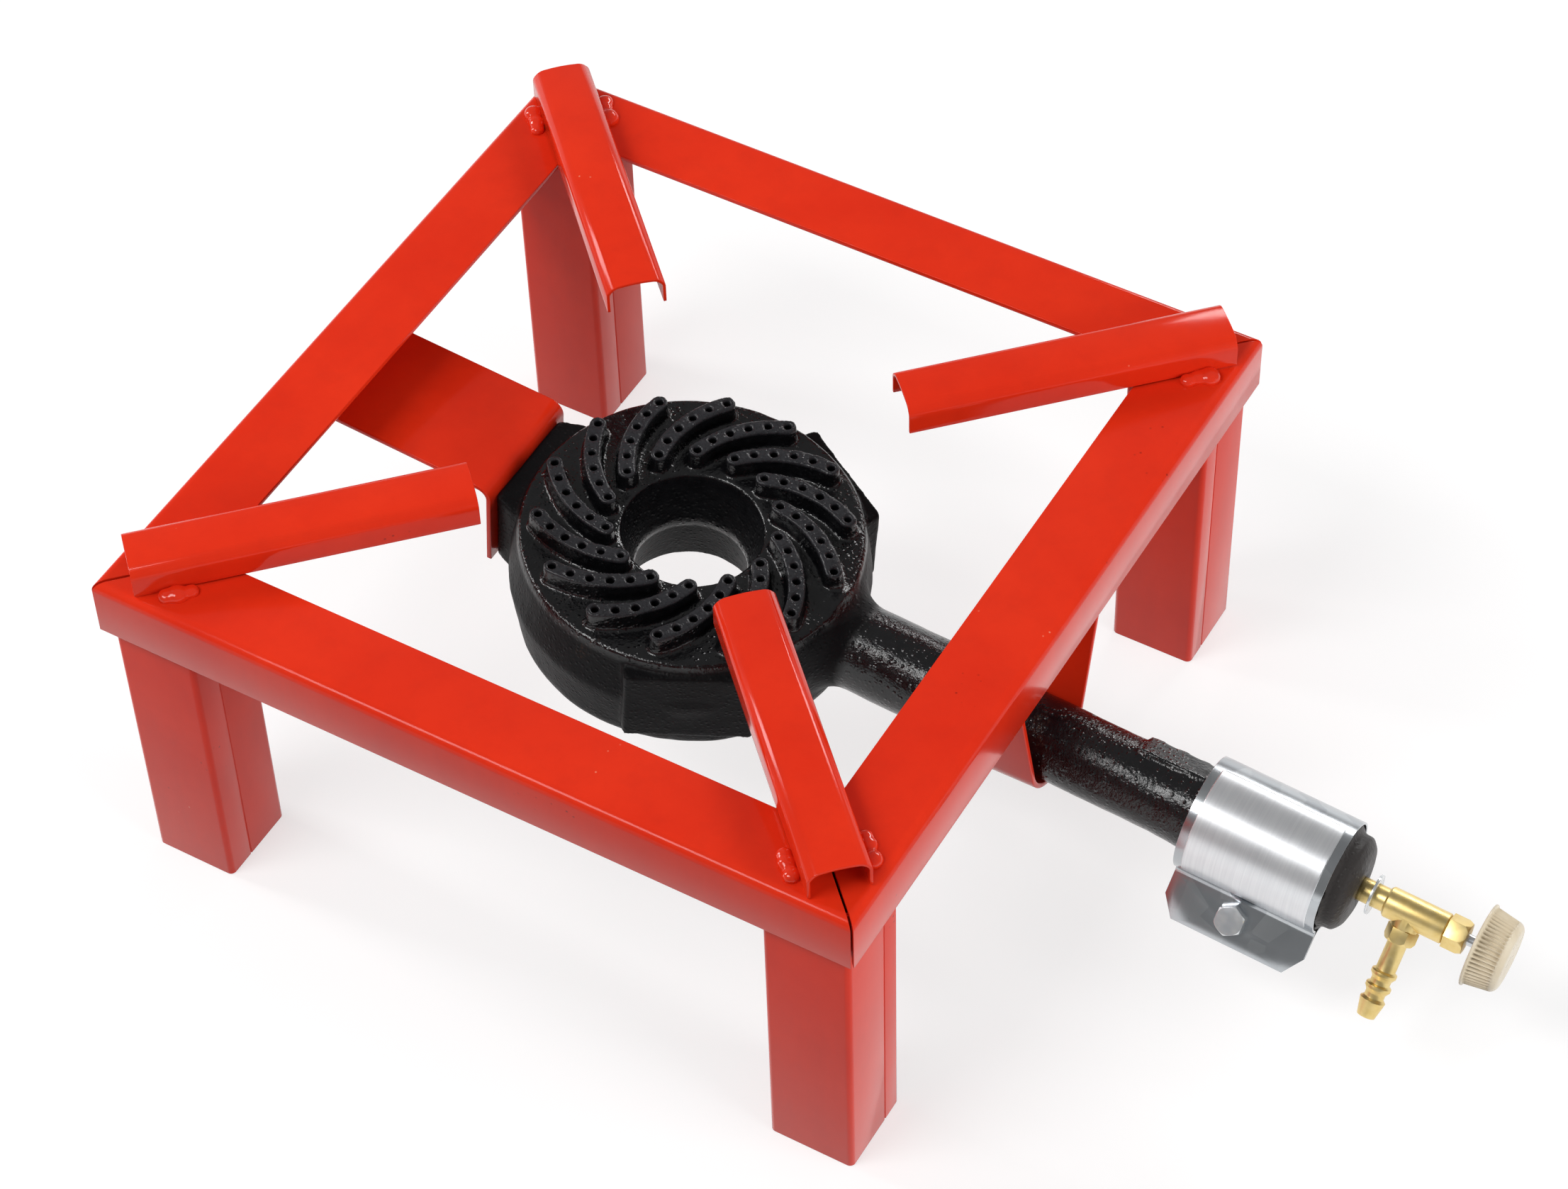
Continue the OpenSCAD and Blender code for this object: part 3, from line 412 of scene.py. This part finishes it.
def shade_smooth(mesh):
    for f in mesh.polygons:
        f.use_smooth = True


def wear(obj, finish):
    """Puts one finish on all of an object's faces."""
    obj.data.materials.clear()
    obj.data.materials.append(finish)
    for p in obj.data.polygons:
        p.material_index = 0


def belong(obj, body, slot_name, *stands_for):
    """Rides a piece on its body and hides the nodes it stands for. Its slot name is not used."""
    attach(obj, body)
    if stands_for:
        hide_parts(*stands_for)


def settle(obj, place, body, slot_name, *stands_for):
    """Moves a piece's mesh to its place before the piece belongs to its body."""
    obj.data.transform(place)
    belong(obj, body, slot_name, *stands_for)


def softened(name, node, body, slot_name, finish, edge, angle=40):
    """Copy of a node that stands for it, its edges above that angle rounded to that width."""
    bm = merged_copy(node)
    bmesh.ops.dissolve_limit(bm, angle_limit=JOIN_BELOW, verts=bm.verts, edges=bm.edges)
    obj = in_scene(name, mesh_of(bm, name))
    modify(obj, "BEVEL", width=edge, segments=3, limit_method="ANGLE", angle_limit=math.radians(angle))
    baked(obj)
    wear(obj, finish)
    shade_by_angle(obj.data, SHARP_ABOVE)
    belong(obj, body, slot_name, node)


def enamelled(node, edge):
    """A part of the frame with the edges of its sheet or tube softened by the enamel."""
    softened(f"enamelled_{node}", node, "stove_frame", "frame_enamel", ENAMEL, edge)


CORNERS = ("front_left", "front_right", "rear_left", "rear_right")
for side in ("left", "front", "right", "rear"):
    enamelled(f"{side}_rail", 0.25 * MM)
for corner in CORNERS:
    enamelled(f"{corner}_leg", 0.35 * MM)
for strap in ("rear_bracket", "tube_cradle"):
    enamelled(strap, 0.45 * MM)


# Geometry Nodes trees

class Tree(Wiring):
    """A Geometry Nodes tree in the making, with named inputs."""

    SOCKETS = {int: "NodeSocketInt", float: "NodeSocketFloat", type(None): "NodeSocketMaterial"}

    def __init__(self, name, start=False, **inputs):
        super().__init__(bpy.data.node_groups.new(name, "GeometryNodeTree"))
        face = self.tree.interface
        if start:
            face.new_socket("Geometry", in_out="INPUT", socket_type="NodeSocketGeometry")
        self.identifier = {}
        for key, value in inputs.items():
            item = face.new_socket(key, in_out="INPUT", socket_type=self.SOCKETS[type(value)])
            if value is not None:
                item.default_value = value
            self.identifier[key] = item.identifier
        face.new_socket("Geometry", in_out="OUTPUT", socket_type="NodeSocketGeometry")
        self.given = self.node("NodeGroupInput").outputs

    def add(self, kind, inputs=None, output=0, **settings):
        """One output of a new node."""
        return self.node(kind, inputs, **settings).outputs[output]

    def vector(self, x=0.0, y=0.0, z=0.0):
        return self.add("ShaderNodeCombineXYZ", {0: x, 1: y, 2: z})

    def parts(self, vector):
        return tuple(self.node("ShaderNodeSeparateXYZ", {0: vector}).outputs)

    def position(self):
        return self.parts(self.add("GeometryNodeInputPosition"))

    def shifted(self, geometry, offset):
        return self.add("GeometryNodeSetPosition", {"Geometry": geometry, "Offset": offset})

    def scaled(self, vector, scale):
        return self.add("ShaderNodeVectorMath", {0: vector, "Scale": scale}, operation="SCALE")

    def chance(self, low, high, seed):
        """A random number for each point."""
        return self.add("FunctionNodeRandomValue", {2: low, 3: high, "Seed": seed}, output=1)

    def blurred_position(self, times):
        """Each point's place, averaged with its neighbours that many times."""
        node = self.node("GeometryNodeBlurAttribute", {"Iterations": times}, data_type="FLOAT_VECTOR")
        taken = next(i for i in node.inputs if i.enabled and i.name == "Value")
        self.tree.links.new(self.add("GeometryNodeInputPosition"), taken)
        return next(o for o in node.outputs if o.enabled)

    def end(self, geometry):
        """Closes the tree with real geometry that wears the tree's finish."""
        real = self.add("GeometryNodeRealizeInstances", {0: geometry})
        worn = self.add("GeometryNodeSetMaterial", {"Geometry": real, "Material": self.given["Finish"]})
        self.node("NodeGroupOutput", {0: worn})
        return self

    def grow(self, name, values, start=None, modifiers=()):
        """An object whose mesh this tree makes with these values, and then the modifiers."""
        obj = in_scene(name, start or bpy.data.meshes.new(name))
        modifier = obj.modifiers.new(name, "NODES")
        modifier.node_group = self.tree
        for key, value in values.items():
            modifier[self.identifier[key]] = value
        for kind, settings in modifiers:
            modify(obj, kind, **settings)
        baked(obj)
        return obj


def channel_tree():
    """Pan supports: a channel swept from the middle outwards, once for each corner."""
    t = Tree("pan_support_channels", Corners=len(CORNERS), Start=77 * MM, Length=121 * MM, Width=22 * MM,
             Height=12.4 * MM, Sheet=SUPPORT_SHEET, Bend=4.4 * MM, Crown=50 * MM, Top=157.98 * MM,
             Finish=None)
    crown_from, crown_full, flat = -0.1, -0.4, 0.9
    start, sheet, top, height = (t.given[key] for key in ("Start", "Sheet", "Top", "Height"))
    # Profile: a box with its upper corners bent round. Its Y points down once it is swept
    half_sheet = t.product(sheet, 0.5)
    high = t.maths("SUBTRACT", height, half_sheet)
    box = t.add("GeometryNodeCurvePrimitiveQuadrilateral", {
        "Width": t.maths("SUBTRACT", t.given["Width"], sheet), "Height": high})
    _, y, _ = t.position()
    bend = t.product(t.maths("LESS_THAN", y, 0.0), t.maths("SUBTRACT", t.given["Bend"], half_sheet))
    round_box = t.add("GeometryNodeFilletCurve", {"Curve": box, "Radius": bend, "Count": 8}, mode="POLY")
    # The web is crowned: it falls away from the middle towards both bends
    dense = t.add("GeometryNodeSubdivideCurve", {"Curve": round_box, "Cuts": 3})
    x, y, _ = t.position()
    crown_side = t.steps(y, t.product(high, crown_from), t.product(high, crown_full))
    drop = t.maths("DIVIDE", t.product(x, x), t.product(t.given["Crown"], 2.0))
    crowned = t.shifted(dense, t.vector(y=t.product(drop, crown_side)))
    # Swept along the support and lifted until the crown is at the pans' height
    path = t.add("GeometryNodeCurvePrimitiveLine", {
        "Start": t.vector(start), "End": t.vector(t.maths("ADD", start, t.given["Length"]))})
    swept = t.add("GeometryNodeCurveToMesh", {
        "Curve": path, "Profile Curve": crowned, "Fill Caps": False})
    level = t.maths("SUBTRACT", top, t.maths("ADD", half_sheet, t.product(high, 0.5)))
    lifted = t.add("GeometryNodeTransform", {"Geometry": swept, "Translation": t.vector(z=level)})
    # Opened below, and set once in each corner
    _, _, facing = t.parts(t.add("GeometryNodeInputNormal"))
    _, _, z = t.position()
    bottom = t.maths("ADD", t.maths("SUBTRACT", top, height), 0.2 * MM)
    under = t.product(t.maths("LESS_THAN", z, bottom),
                      t.maths("GREATER_THAN", t.maths("ABSOLUTE", facing), flat))
    opened = t.add("GeometryNodeDeleteGeometry", {"Geometry": lifted, "Selection": under}, domain="FACE")
    spots = t.add("GeometryNodePoints", {"Count": t.given["Corners"]})
    angle = t.product(t.maths("ADD", t.add("GeometryNodeInputIndex"), 0.5), math.pi / 2)
    return t.end(t.add("GeometryNodeInstanceOnPoints", {
        "Points": spots, "Instance": opened, "Rotation": t.vector(z=angle)}))


def weld_tree():
    """Fillet welds: lumps of melt beside every pan support, run together and smoothed."""
    t = Tree("support_weld_beads", Lumps=3, Reach=183 * MM, Side=13 * MM, Level=145.4 * MM,
             Pitch=4.7 * MM, Size=4 * MM, Smallest=0.75, Largest=1.1, Flatness=0.8, Wander=1 * MM,
             Grain=0.3 * MM, Ripple=0.6 * MM, Seed=7, Finish=None)
    in_weld, seed, grain = t.given["Lumps"], t.given["Seed"], t.given["Grain"]
    points = t.add("GeometryNodePoints", {"Count": t.product(in_weld, 2.0 * len(CORNERS))})
    # Lumps are counted along each weld, and two welds belong to each corner
    index = t.add("GeometryNodeInputIndex")
    weld = t.maths("FLOOR", t.maths("DIVIDE", index, in_weld))
    lump = t.maths("SUBTRACT", index, t.product(weld, in_weld))
    corner = t.maths("FLOOR", t.product(weld, 0.5))
    side = t.maths("SUBTRACT", t.product(t.maths("MODULO", weld, 2.0), 2.0), 1.0)
    # A lump lies beside its support, a little out of line
    middle = t.product(t.maths("SUBTRACT", in_weld, 1.0), 0.5)
    step = t.product(t.maths("SUBTRACT", lump, middle), t.given["Pitch"])
    shift = t.chance(t.product(t.given["Wander"], -1.0), t.given["Wander"], seed)
    along = t.maths("ADD", t.maths("ADD", t.given["Reach"], step), shift)
    across = t.product(side, t.maths("ADD", t.given["Side"], t.maths("ABSOLUTE", shift)))
    turned = t.add("ShaderNodeVectorRotate", {
        "Vector": t.vector(along, across, t.given["Level"]),
        "Angle": t.product(t.maths("ADD", corner, 0.5), math.pi / 2)}, rotation_type="Z_AXIS")
    spots = t.add("GeometryNodeSetPosition", {"Geometry": points, "Position": turned})
    # Flat balls of uneven size melt into one skin, which is smoothed and slightly rippled
    ball = t.add("GeometryNodeMeshIcoSphere", {"Radius": 1.0, "Subdivisions": 3})
    share = t.chance(t.given["Smallest"], t.given["Largest"], t.maths("ADD", seed, 1.0))
    size = t.product(t.given["Size"], share)
    lumps = t.add("GeometryNodeInstanceOnPoints", {
        "Points": spots, "Instance": ball,
        "Scale": t.vector(size, size, t.product(size, t.given["Flatness"]))})
    cloud = t.add("GeometryNodeMeshToVolume", {
        "Mesh": t.add("GeometryNodeRealizeInstances", {0: lumps}), "Voxel Size": grain,
        "Interior Band Width": 2 * MM}, resolution_mode="VOXEL_SIZE")
    skin = t.add("GeometryNodeVolumeToMesh", {
        "Volume": cloud, "Voxel Size": grain, "Threshold": 0.1}, resolution_mode="VOXEL_SIZE")
    eased = t.add("GeometryNodeSetPosition", {"Geometry": skin, "Position": t.blurred_position(24)})
    waves = t.add("ShaderNodeTexNoise", {"Scale": 160.0, "Detail": 1.0})
    raised = t.product(t.maths("SUBTRACT", waves, 0.5), t.given["Ripple"])
    rippled = t.shifted(eased, t.scaled(t.add("GeometryNodeInputNormal"), raised))
    return t.end(t.add("GeometryNodeSetShadeSmooth", {0: rippled}))


def thread_tree():
    """A screw thread's crest wound round a shank along its own Z."""
    t = Tree("screw_thread", Radius=3 * MM, Pitch=1 * MM, Turns=6.0, Depth=0.4 * MM, Finish=None)
    radius, turns = t.given["Radius"], t.given["Turns"]
    wind = t.add("GeometryNodeCurveSpiral", {
        "Resolution": 28, "Rotations": turns, "Start Radius": radius, "End Radius": radius,
        "Height": t.product(turns, t.given["Pitch"])})
    ridge = t.add("GeometryNodeCurvePrimitiveCircle", {"Resolution": 4, "Radius": t.given["Depth"]},
                  mode="RADIUS")
    return t.end(t.add("GeometryNodeCurveToMesh", {
        "Curve": wind, "Profile Curve": ridge, "Fill Caps": True}))


def flute_tree():
    """Draws flutes into a turned grip whose axis is its own Z."""
    t = Tree("knob_flutes", start=True, Flutes=FLUTES, Depth=1.3 * MM, From=1 * MM, To=10 * MM,
             Ease=0.6 * MM, Inside=12.5 * MM, Roundness=0.85, Finish=None)
    start, end, ease = t.given["From"], t.given["To"], t.given["Ease"]
    x, y, z = t.position()
    turn = t.product(t.maths("ARCTAN2", y, x), t.given["Flutes"])
    wave = t.product(t.maths("SUBTRACT", 1.0, t.maths("COSINE", turn)), 0.5)
    groove = t.maths("POWER", wave, t.given["Roundness"])
    rise = t.steps(z, start, t.maths("ADD", start, ease), 0.0, 1.0, "SMOOTHSTEP")
    fall = t.steps(z, t.maths("SUBTRACT", end, ease), end, 1.0, 0.0, "SMOOTHSTEP")
    outside = t.maths("GREATER_THAN", t.radius(x, y), t.given["Inside"])
    cut = t.product(groove, rise, fall, t.given["Depth"], -1.0, outside)
    outwards = t.add("ShaderNodeVectorMath", {0: t.vector(x, y)}, operation="NORMALIZE")
    fluted = t.shifted(t.given["Geometry"], t.scaled(outwards, cut))
    return t.end(t.add("GeometryNodeSetShadeSmooth", {0: fluted}))


supports = channel_tree().grow("enamelled_pan_supports", {"Finish": ENAMEL}, modifiers=(
    ("SOLIDIFY", {"thickness": SUPPORT_SHEET, "offset": 0.0, "use_even_offset": True}),
    ("BEVEL", {"width": 0.25 * MM, "segments": 2, "limit_method": "ANGLE",
               "angle_limit": math.radians(50)})))
shade_by_angle(supports.data, SHARP_ABOVE)
belong(supports, "stove_frame", "frame_enamel", *(f"{corner}_support" for corner in CORNERS))

welds = weld_tree().grow("support_weld_blobs", {"Finish": WELD})
belong(welds, "stove_frame", "weld_enamel", "support_welds")


# Casting

def sand_cast(name, node, grain, most_triangles):
    """Copy of a casting with every edge and corner rounded as a sand mould leaves it."""
    broad_scale, broad_height = 55, 0.28 * MM
    fine_scale, fine_height = 160, 0.13 * MM
    obj = in_scene(name, mesh_of(merged_copy(node), name))
    modify(obj, "REMESH", mode="VOXEL", voxel_size=grain)
    modify(obj, "SMOOTH", factor=0.5, iterations=2)
    mesh = baked(obj)
    upright = CASTING.inverted()
    below = obj.vertex_groups.new(name="below_vane_tops")
    below.add([v.index for v in mesh.vertices if (upright @ v.co).z < VANE_TOP - 2 * MM], 1.0, "REPLACE")
    modify(obj, "SMOOTH", factor=0.5, iterations=7, vertex_group=below.name)
    mesh = baked(obj)
    obj.vertex_groups.clear()
    spots = [(v.co.copy(), v.normal.copy()) for v in mesh.vertices]
    for v, (place, out) in zip(mesh.vertices, spots):
        broad = noise.noise(place * broad_scale) * broad_height
        fine = noise.noise(place * fine_scale) * fine_height
        v.co = place + out * (broad + fine)
    modify(obj, "DECIMATE", ratio=min(1.0, most_triangles / (2 * len(mesh.polygons))))
    shade_smooth(baked(obj))
    wear(obj, IRON)
    belong(obj, "stove_frame", "black_iron", node)


sand_cast("cast_iron_ring_burner", "burner", grain=0.7 * MM, most_triangles=190000)


# Air shutter, valve and knob

def along_tube(s):
    """Frame whose Z runs along the mixing tube at that distance, as in the model's source."""
    return CASTING @ Matrix.Translation((s, 0, 0)) @ Matrix.Rotation(math.pi / 2, 4, "Y")


softened("galvanised_air_shutter", "air_shutter", "shutter", "zinc_sheet", SHEET, 0.12 * MM, 50)
for part in ("clamp_bolt", "clamp_nut"):
    softened(f"zinc_{part}", part, "shutter", "zinc_fastener", ZINC, 0.22 * MM, 25)
for part, edge, angle in (("valve_body", 0.2 * MM, 30), ("gland_nut", 0.2 * MM, 25),
                          ("hose_tail", 0.15 * MM, 25)):
    softened(f"brass_{part}", part, "stove_frame", "valve_brass", BRASS, edge, angle)
softened("zinc_neck_washer", "neck_washer", "stove_frame", "zinc_fastener", ZINC, 0.15 * MM)


def wrapped_foil(name, radius, thickness, x_from, x_to, roll_from, roll_to, columns, corner):
    """Thin foil with rounded corners laid round the sleeve, in the casting's own frame."""
    bm = bmesh.new()
    rows = []
    arc = (roll_to - roll_from) * radius
    hem = 0.4 * MM
    for i in range(columns + 1):
        share = i / columns
        roll = roll_from + (roll_to - roll_from) * share
        edge = min(share, 1 - share) * arc
        trim = corner - math.sqrt(max(0.0, corner ** 2 - (corner - min(edge, corner)) ** 2))
        left, right = x_from + trim, x_to - trim
        rows.append([bm.verts.new((x, radius * math.cos(roll), radius * math.sin(roll)))
                     for x in (left, left + hem, (x_from + x_to) / 2, right - hem, right)])
    for a, b in zip(rows, rows[1:]):
        for j in range(len(a) - 1):
            bm.faces.new((a[j], a[j + 1], b[j + 1], b[j]))
    bmesh.ops.recalc_face_normals(bm, faces=bm.faces)
    mesh = mesh_of(bm, name)
    shade_smooth(mesh)
    if sum(f.center.yz.dot(f.normal.yz) for f in mesh.polygons) < 0:
        mesh.flip_normals()
    obj = in_scene(name, mesh)
    modify(obj, "SOLIDIFY", thickness=thickness, offset=1.0)
    baked(obj)
    return obj


FOIL_MARGIN = 3.2 * MM
label = wrapped_foil("blank_label_foil", radius=SHUTTER_R + 0.01 * MM, thickness=0.12 * MM,
                     x_from=SHUTTER_FROM + FOIL_MARGIN, x_to=SHUTTER_FROM + SHUTTER_LEN - FOIL_MARGIN,
                     roll_from=math.radians(75), roll_to=math.radians(207), columns=72, corner=1.2 * MM)
wear(label, FOIL)
settle(label, CASTING, "shutter", "zinc_sheet")


def turned_grip(name, profile, columns):
    """Closed body of revolution about Z, from its profile of (radius, height)."""
    bm = bmesh.new()
    turns = [2 * math.pi * i / columns for i in range(columns)]
    rings = []
    for r, z in profile:
        around = [(r * math.cos(a), r * math.sin(a), z) for a in turns] if r else [(0, 0, z)]
        rings.append([bm.verts.new(place) for place in around])
    for a, b in zip(rings, rings[1:]):
        for i in range(columns):
            j = (i + 1) % columns
            if len(a) == 1:
                bm.faces.new((a[0], b[j], b[i]))
            elif len(b) == 1:
                bm.faces.new((a[i], a[j], b[0]))
            else:
                bm.faces.new((a[i], a[j], b[j], b[i]))
    bmesh.ops.recalc_face_normals(bm, faces=bm.faces)
    return mesh_of(bm, name)


def knob_profile():
    """From the stem's bore out over the hollow back, the thin rim, the grip and the round top."""
    bore_r, bore_depth = 2.15, 9.2
    hub_r, recess_r, recess_depth = 4.2, 10.8, 4.0
    rim_r, rim_len = 15.1, 1.0
    grip_r, end_r, length, grip_steps = 14.3, 13.0, 12.2, 26
    shoulder = 2.8
    round_r, round_z = end_r - shoulder, length - shoulder
    points = [
        (0.0, bore_depth), (bore_r, bore_depth), (bore_r, 0.0),
        (hub_r - 0.2, 0.0), (hub_r, 0.2), (hub_r, recess_depth - 0.1), (hub_r + 0.3, recess_depth),
        (recess_r - 0.4, recess_depth), (recess_r, recess_depth - 0.2), (recess_r, 0.2),
        (recess_r + 0.2, 0.0), (rim_r - 0.3, 0.0), (rim_r - 0.1, 0.1), (rim_r, 0.3), (rim_r, 0.7),
        (rim_r - 0.1, 0.88), (grip_r + 0.45, 0.94)]
    for k in range(grip_steps + 1):
        share = k / grip_steps
        points.append((grip_r + (end_r - grip_r) * share, rim_len + (round_z - rim_len) * share))
    for degrees in range(10, 91, 10):
        a = math.radians(degrees)
        points.append((round_r + shoulder * math.cos(a), round_z + shoulder * math.sin(a)))
    points += [(r, length) for r in (7.0, 3.0, 0.0)]
    return [(r * MM, z * MM) for r, z in points]


grip = turned_grip("fluted_knob", knob_profile(), 8 * FLUTES)
knob = flute_tree().grow("ivory_fluted_knob", {"Finish": IVORY}, start=grip)
shade_by_angle(knob.data, 60)
settle(knob, along_tube(KNOB_AT), "knob", "knob_plastic", "knob")

thread = thread_tree()
at_clamp = (along_tube(NOSE - CLAMP_BACK) @ Matrix.Rotation(EAR_ROLL - math.pi / 2, 4, "Z")
            @ Matrix.Translation((CLAMP_REACH, 0, 0)) @ Matrix.Rotation(-math.pi / 2, 4, "X"))
past_nut = Matrix.Translation((0, 0, 6.2 * MM))
tail = thread.grow("clamp_bolt_thread", {
    "Radius": 2.85 * MM, "Turns": 1.8, "Depth": 0.25 * MM, "Finish": ZINC})
settle(tail, at_clamp @ past_nut, "shutter", "zinc_fastener")
neck = thread.grow("valve_neck_thread", {
    "Radius": 4.12 * MM, "Turns": 3.4, "Depth": 0.22 * MM, "Finish": BRASS})
settle(neck, along_tube(NOSE + 0.6 * MM), "stove_frame", "valve_brass")


# Camera, lamps, backdrop and floor

def photo_camera():
    """Camera at the photograph's place, its roll measured from the level."""
    forward = (CAMERA_TARGET - CAMERA_AT).normalized()
    level_right = forward.cross(Vector((0, 0, 1))).normalized()
    level_up = level_right.cross(forward)
    right = level_right * math.cos(CAMERA_ROLL) + level_up * math.sin(CAMERA_ROLL)
    up = right.cross(forward)
    data = bpy.data.cameras.new("photo_camera")
    data.lens = CAMERA_LENS
    data.sensor_width = CAMERA_SENSOR
    data.sensor_fit = "HORIZONTAL"
    data.clip_end = 20
    camera = in_scene("photo_camera", data)
    camera.matrix_world = (Matrix.Translation(CAMERA_AT)
                           @ Matrix((right, up, -forward)).transposed().to_4x4())
    return camera


def area_light(name, at, aim, size, watts, across=None):
    """Rectangular lamp turned to its aim, its width level or along the direction given."""
    data = bpy.data.lights.new(name, "AREA")
    data.shape = "RECTANGLE"
    data.size, data.size_y = size
    data.energy = watts
    lamp = in_scene(name, data)
    back = (Vector(at) - Vector(aim)).normalized()
    side = Vector(across) if across else Vector((0, 0, 1)).cross(back)
    side = (side - back * side.dot(back)).normalized()
    turn = Matrix((side, back.cross(side), back)).transposed().to_4x4()
    lamp.matrix_world = Matrix.Translation(at) @ turn
    return lamp


def studio_world():
    """White backdrop under a darker ceiling for what is seen and mirrored, even grey as light."""
    world = bpy.data.worlds.new("studio")
    world.use_nodes = True
    w = Wiring(world.node_tree)
    seen, showing = w.showing_rays()
    place = w.node("ShaderNodeTexCoord").outputs["Generated"]
    up = w.node("ShaderNodeSeparateXYZ", {0: place}).outputs["Z"]
    ceiling = w.steps(up, WHITE_UP_TO, CEILING_FROM, 1.0, CEILING_LEVEL)
    level = w.node("ShaderNodeMix", {0: seen, 2: ceiling, 3: 1.0}).outputs[0]
    shown = w.node("ShaderNodeBackground", {"Color": (1, 1, 1, 1), "Strength": level}).outputs[0]
    light = w.node("ShaderNodeBackground", {
        "Color": (0.98, 0.99, 1, 1), "Strength": ROOM_LIGHT}).outputs[0]
    both = w.node("ShaderNodeMixShader", {0: showing, 1: light, 2: shown}).outputs[0]
    w.node("ShaderNodeOutputWorld", {"Surface": both})
    return world


def floor_finish():
    """Pale matt floor that takes the shadow, with a glow only for what is seen and mirrored."""
    material = bpy.data.materials.new("pale_floor")
    material.use_nodes = True
    w = Wiring(material.node_tree)
    _, showing = w.showing_rays()
    drift = w.node("ShaderNodeTexNoise", {"Scale": 3}).outputs["Fac"]
    tone = w.node("ShaderNodeMix", {0: drift, 6: (0.40, 0.40, 0.40, 1), 7: (0.43, 0.43, 0.43, 1)},
                  data_type="RGBA").outputs[2]
    matt = w.node("ShaderNodeBsdfDiffuse", {"Color": tone}).outputs[0]
    place = w.node("ShaderNodeTexCoord").outputs["Object"]
    away = w.node("ShaderNodeVectorMath", {0: place}, operation="LENGTH").outputs["Value"]
    level = w.product(showing, w.steps(away, NEAR_WITHIN, FAR_BEYOND, NEAR_GLOW, FAR_GLOW))
    glow = w.node("ShaderNodeEmission", {"Color": (1, 1, 1, 1), "Strength": level}).outputs[0]
    both = w.node("ShaderNodeAddShader", {0: matt, 1: glow}).outputs[0]
    w.node("ShaderNodeOutputMaterial", {"Surface": both})
    return material


def pale_floor():
    """Floor just under the feet."""
    bm = bmesh.new()
    bmesh.ops.create_grid(bm, x_segments=1, y_segments=1, size=4.0)
    floor = in_scene("pale_floor", mesh_of(bm, "pale_floor"))
    floor.location.z = -0.2 * MM
    floor.data.materials.append(floor_finish())
    return floor


scene.camera = photo_camera()
area_light("overhead_softbox", at=(-0.70, -1.15, 1.95), aim=(0, 0, 0.1), size=(1.25, 0.65), watts=26,
           across=(1, 0, 0))
knob_side = area_light("knob_side_softbox", at=(1.7, -0.1, 0.6), aim=(0.1, 0, 0.08), size=(1.0, 0.8),
                       watts=17)
# It lights the faces towards the knob but isn't mirrored in their gloss
knob_side.visible_glossy = False
area_light("left_strip", at=(-1.5, -0.2, 0.85), aim=(0, 0, 0.1), size=(0.3, 0.7), watts=10)
area_light("back_strip", at=(0.1, 1.6, 0.88), aim=(0, 0, 0.1), size=(0.8, 0.26), watts=9)
scene.world = studio_world()
pale_floor()

scene.view_settings.view_transform = "Standard"
